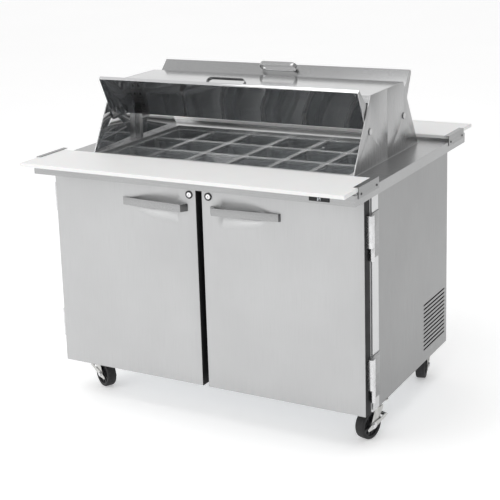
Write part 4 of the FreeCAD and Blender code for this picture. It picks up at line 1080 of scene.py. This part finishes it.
def coil_bends(name):
    """Copper return bends that stand out of both ends of a finned block."""
    low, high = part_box(name)
    radius = 4 * MM
    pitch = 25 * MM
    steps = 10
    middle = (low.z + high.z) / 2
    maker = bmesh.new()
    for end, x in ((-1, low.x), (1, high.x)):
        for level in (-3, -1, 1, 3):
            root = Vector((x - end * 1 * MM, high.y - 16 * MM, middle + level * pitch))
            rings = []
            for step in range(steps + 1):
                angle = pi * step / steps
                out = Vector((end * sin(angle), 0, -cos(angle)))
                ring = []
                for turn in range(steps):
                    spin = 2 * pi * turn / steps
                    round_tube = out * cos(spin) + Vector((0, sin(spin), 0))
                    ring.append(maker.verts.new(root + out * pitch / 2 + round_tube * radius))
                rings.append(ring)
            for first, second in zip(rings, rings[1:]):
                join_rings(maker, first, second)
    finish_piece(name + "_return_bends", maker, "table", ("copper",))


def guard(name, unit):
    """Wire guard in front of a fan: rings on crossed spokes."""
    low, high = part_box(name)
    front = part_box(unit)[0].y
    centre = Vector(((low.x + high.x) / 2, front - 3 * MM, (low.z + high.z) / 2))
    place = axes_frame(centre, (1, 0, 0), (0, -1, 0))
    reach = (high.x - low.x) / 2 + 6 * MM
    maker = bmesh.new()
    wire = 1.3 * MM
    for ring in range(1, 6):
        radius = reach * ring / 5
        lathe(maker, [(radius + x, y) for x, y in arc((0, 0), wire, 0, 315, 7)], place, 48, 0, closed=True)
    for spoke in range(4):
        turn = place @ Matrix.Rotation(pi * spoke / 4, 4, "Z")
        turn = turn @ Matrix.Translation((-reach, 0, -2.2 * MM)) @ Matrix.Rotation(pi / 2, 4, "Y")
        lathe(maker, [(0, 0), (wire, 0), (wire, 2 * reach), (0, 2 * reach)], turn, 8, 0)
    finish_piece(name + "_guard", maker, "table", ("coated",))


for name in ("condenser_fan", "evaporator_fan"):
    fan(name)
compressor()
louvre_filter()
apron_painted_shadow()
coil_bends("condenser_coil")
guard("condenser_fan", "condenser_coil")
guard("evaporator_fan", "evaporator_unit")


# ---------------- floor, light and camera
def make_floor():
    """White floor that glows a little, so that it runs into the white surround."""
    mesh = bpy.data.meshes.new("floor")
    maker = bmesh.new()
    bmesh.ops.create_grid(maker, x_segments=4, y_segments=4, size=30)
    maker.to_mesh(mesh)
    maker.free()
    floor = bpy.data.objects.new("floor", mesh)
    bpy.context.scene.collection.objects.link(floor)
    surface = Surface("floor_paint", (0.93, 0.93, 0.93), 0.8)
    surface.set(Emission_Color=(1, 1, 1, 1), Emission_Strength=0.34)
    surface.vary_color(surface.noise(0.8), (0.915, 0.915, 0.915))
    mesh.materials.append(surface.material)


def make_world():
    """Bright studio surround, darker behind the right side and overhead so that the faces read apart."""
    world = bpy.data.worlds.new("studio")
    bpy.context.scene.world = world
    world.use_nodes = True
    tree = world.node_tree
    place = tree.nodes.new("ShaderNodeTexCoord")
    parts = tree.nodes.new("ShaderNodeSeparateXYZ")
    tree.links.new(place.outputs["Generated"], parts.inputs["Vector"])
    product = tree.nodes.new("ShaderNodeMath")
    product.operation = "MULTIPLY"
    falls = (("X", -0.15, 0.4, 1.02, 0.5), ("Z", 0.3, 0.85, 1.0, 0.72))
    for index, (axis, *limits) in enumerate(falls):
        tree.links.new(ramp(tree, parts.outputs[axis], *limits), product.inputs[index])
    background = tree.nodes["Background"]
    tree.links.new(product.outputs["Value"], background.inputs["Strength"])
    background.inputs["Color"].default_value = (1, 1, 1, 1)


def area_light(name, at, towards, size, power):
    """A softbox that points at a place."""
    data = bpy.data.lights.new(name, "AREA")
    data.shape = "RECTANGLE"
    data.size, data.size_y = size
    data.energy = power
    lamp = bpy.data.objects.new(name, data)
    lamp.location = at
    lamp.rotation_euler = (Vector(towards) - Vector(at)).to_track_quat("-Z", "Y").to_euler()
    bpy.context.scene.collection.objects.link(lamp)


def make_camera():
    """Camera above and to the right of the front, with a slight roll."""
    data = bpy.data.cameras.new("camera")
    data.sensor_width = SENSOR
    data.lens = SENSOR * CAMERA_FOCAL
    data.shift_x, data.shift_y = CAMERA_SHIFT
    data.clip_end = 100
    camera = bpy.data.objects.new("camera", data)
    level = cos(CAMERA_PITCH)
    forward = Vector((-sin(CAMERA_YAW) * level, cos(CAMERA_YAW) * level, -sin(CAMERA_PITCH)))
    right = Vector((cos(CAMERA_YAW), sin(CAMERA_YAW), 0))
    up = right.cross(forward)
    right_rolled = right * cos(CAMERA_ROLL) + up * sin(CAMERA_ROLL)
    up_rolled = up * cos(CAMERA_ROLL) - right * sin(CAMERA_ROLL)
    camera.matrix_world = Matrix.LocRotScale(Vector(CAMERA_AT), None, None) @ Matrix(
        (right_rolled, up_rolled, -forward)).transposed().to_4x4()
    bpy.context.scene.collection.objects.link(camera)
    bpy.context.scene.camera = camera


bpy.context.scene.view_settings.view_transform = "Standard"
make_floor()
make_world()
area_light("overhead", (0.5, -1.2, 4.5), (0, 0, 1), (4, 3), 60)
area_light("front_left", (-3.5, -4.5, 3.0), (0, 0, 0.8), (3, 2.5), 60)
make_camera()
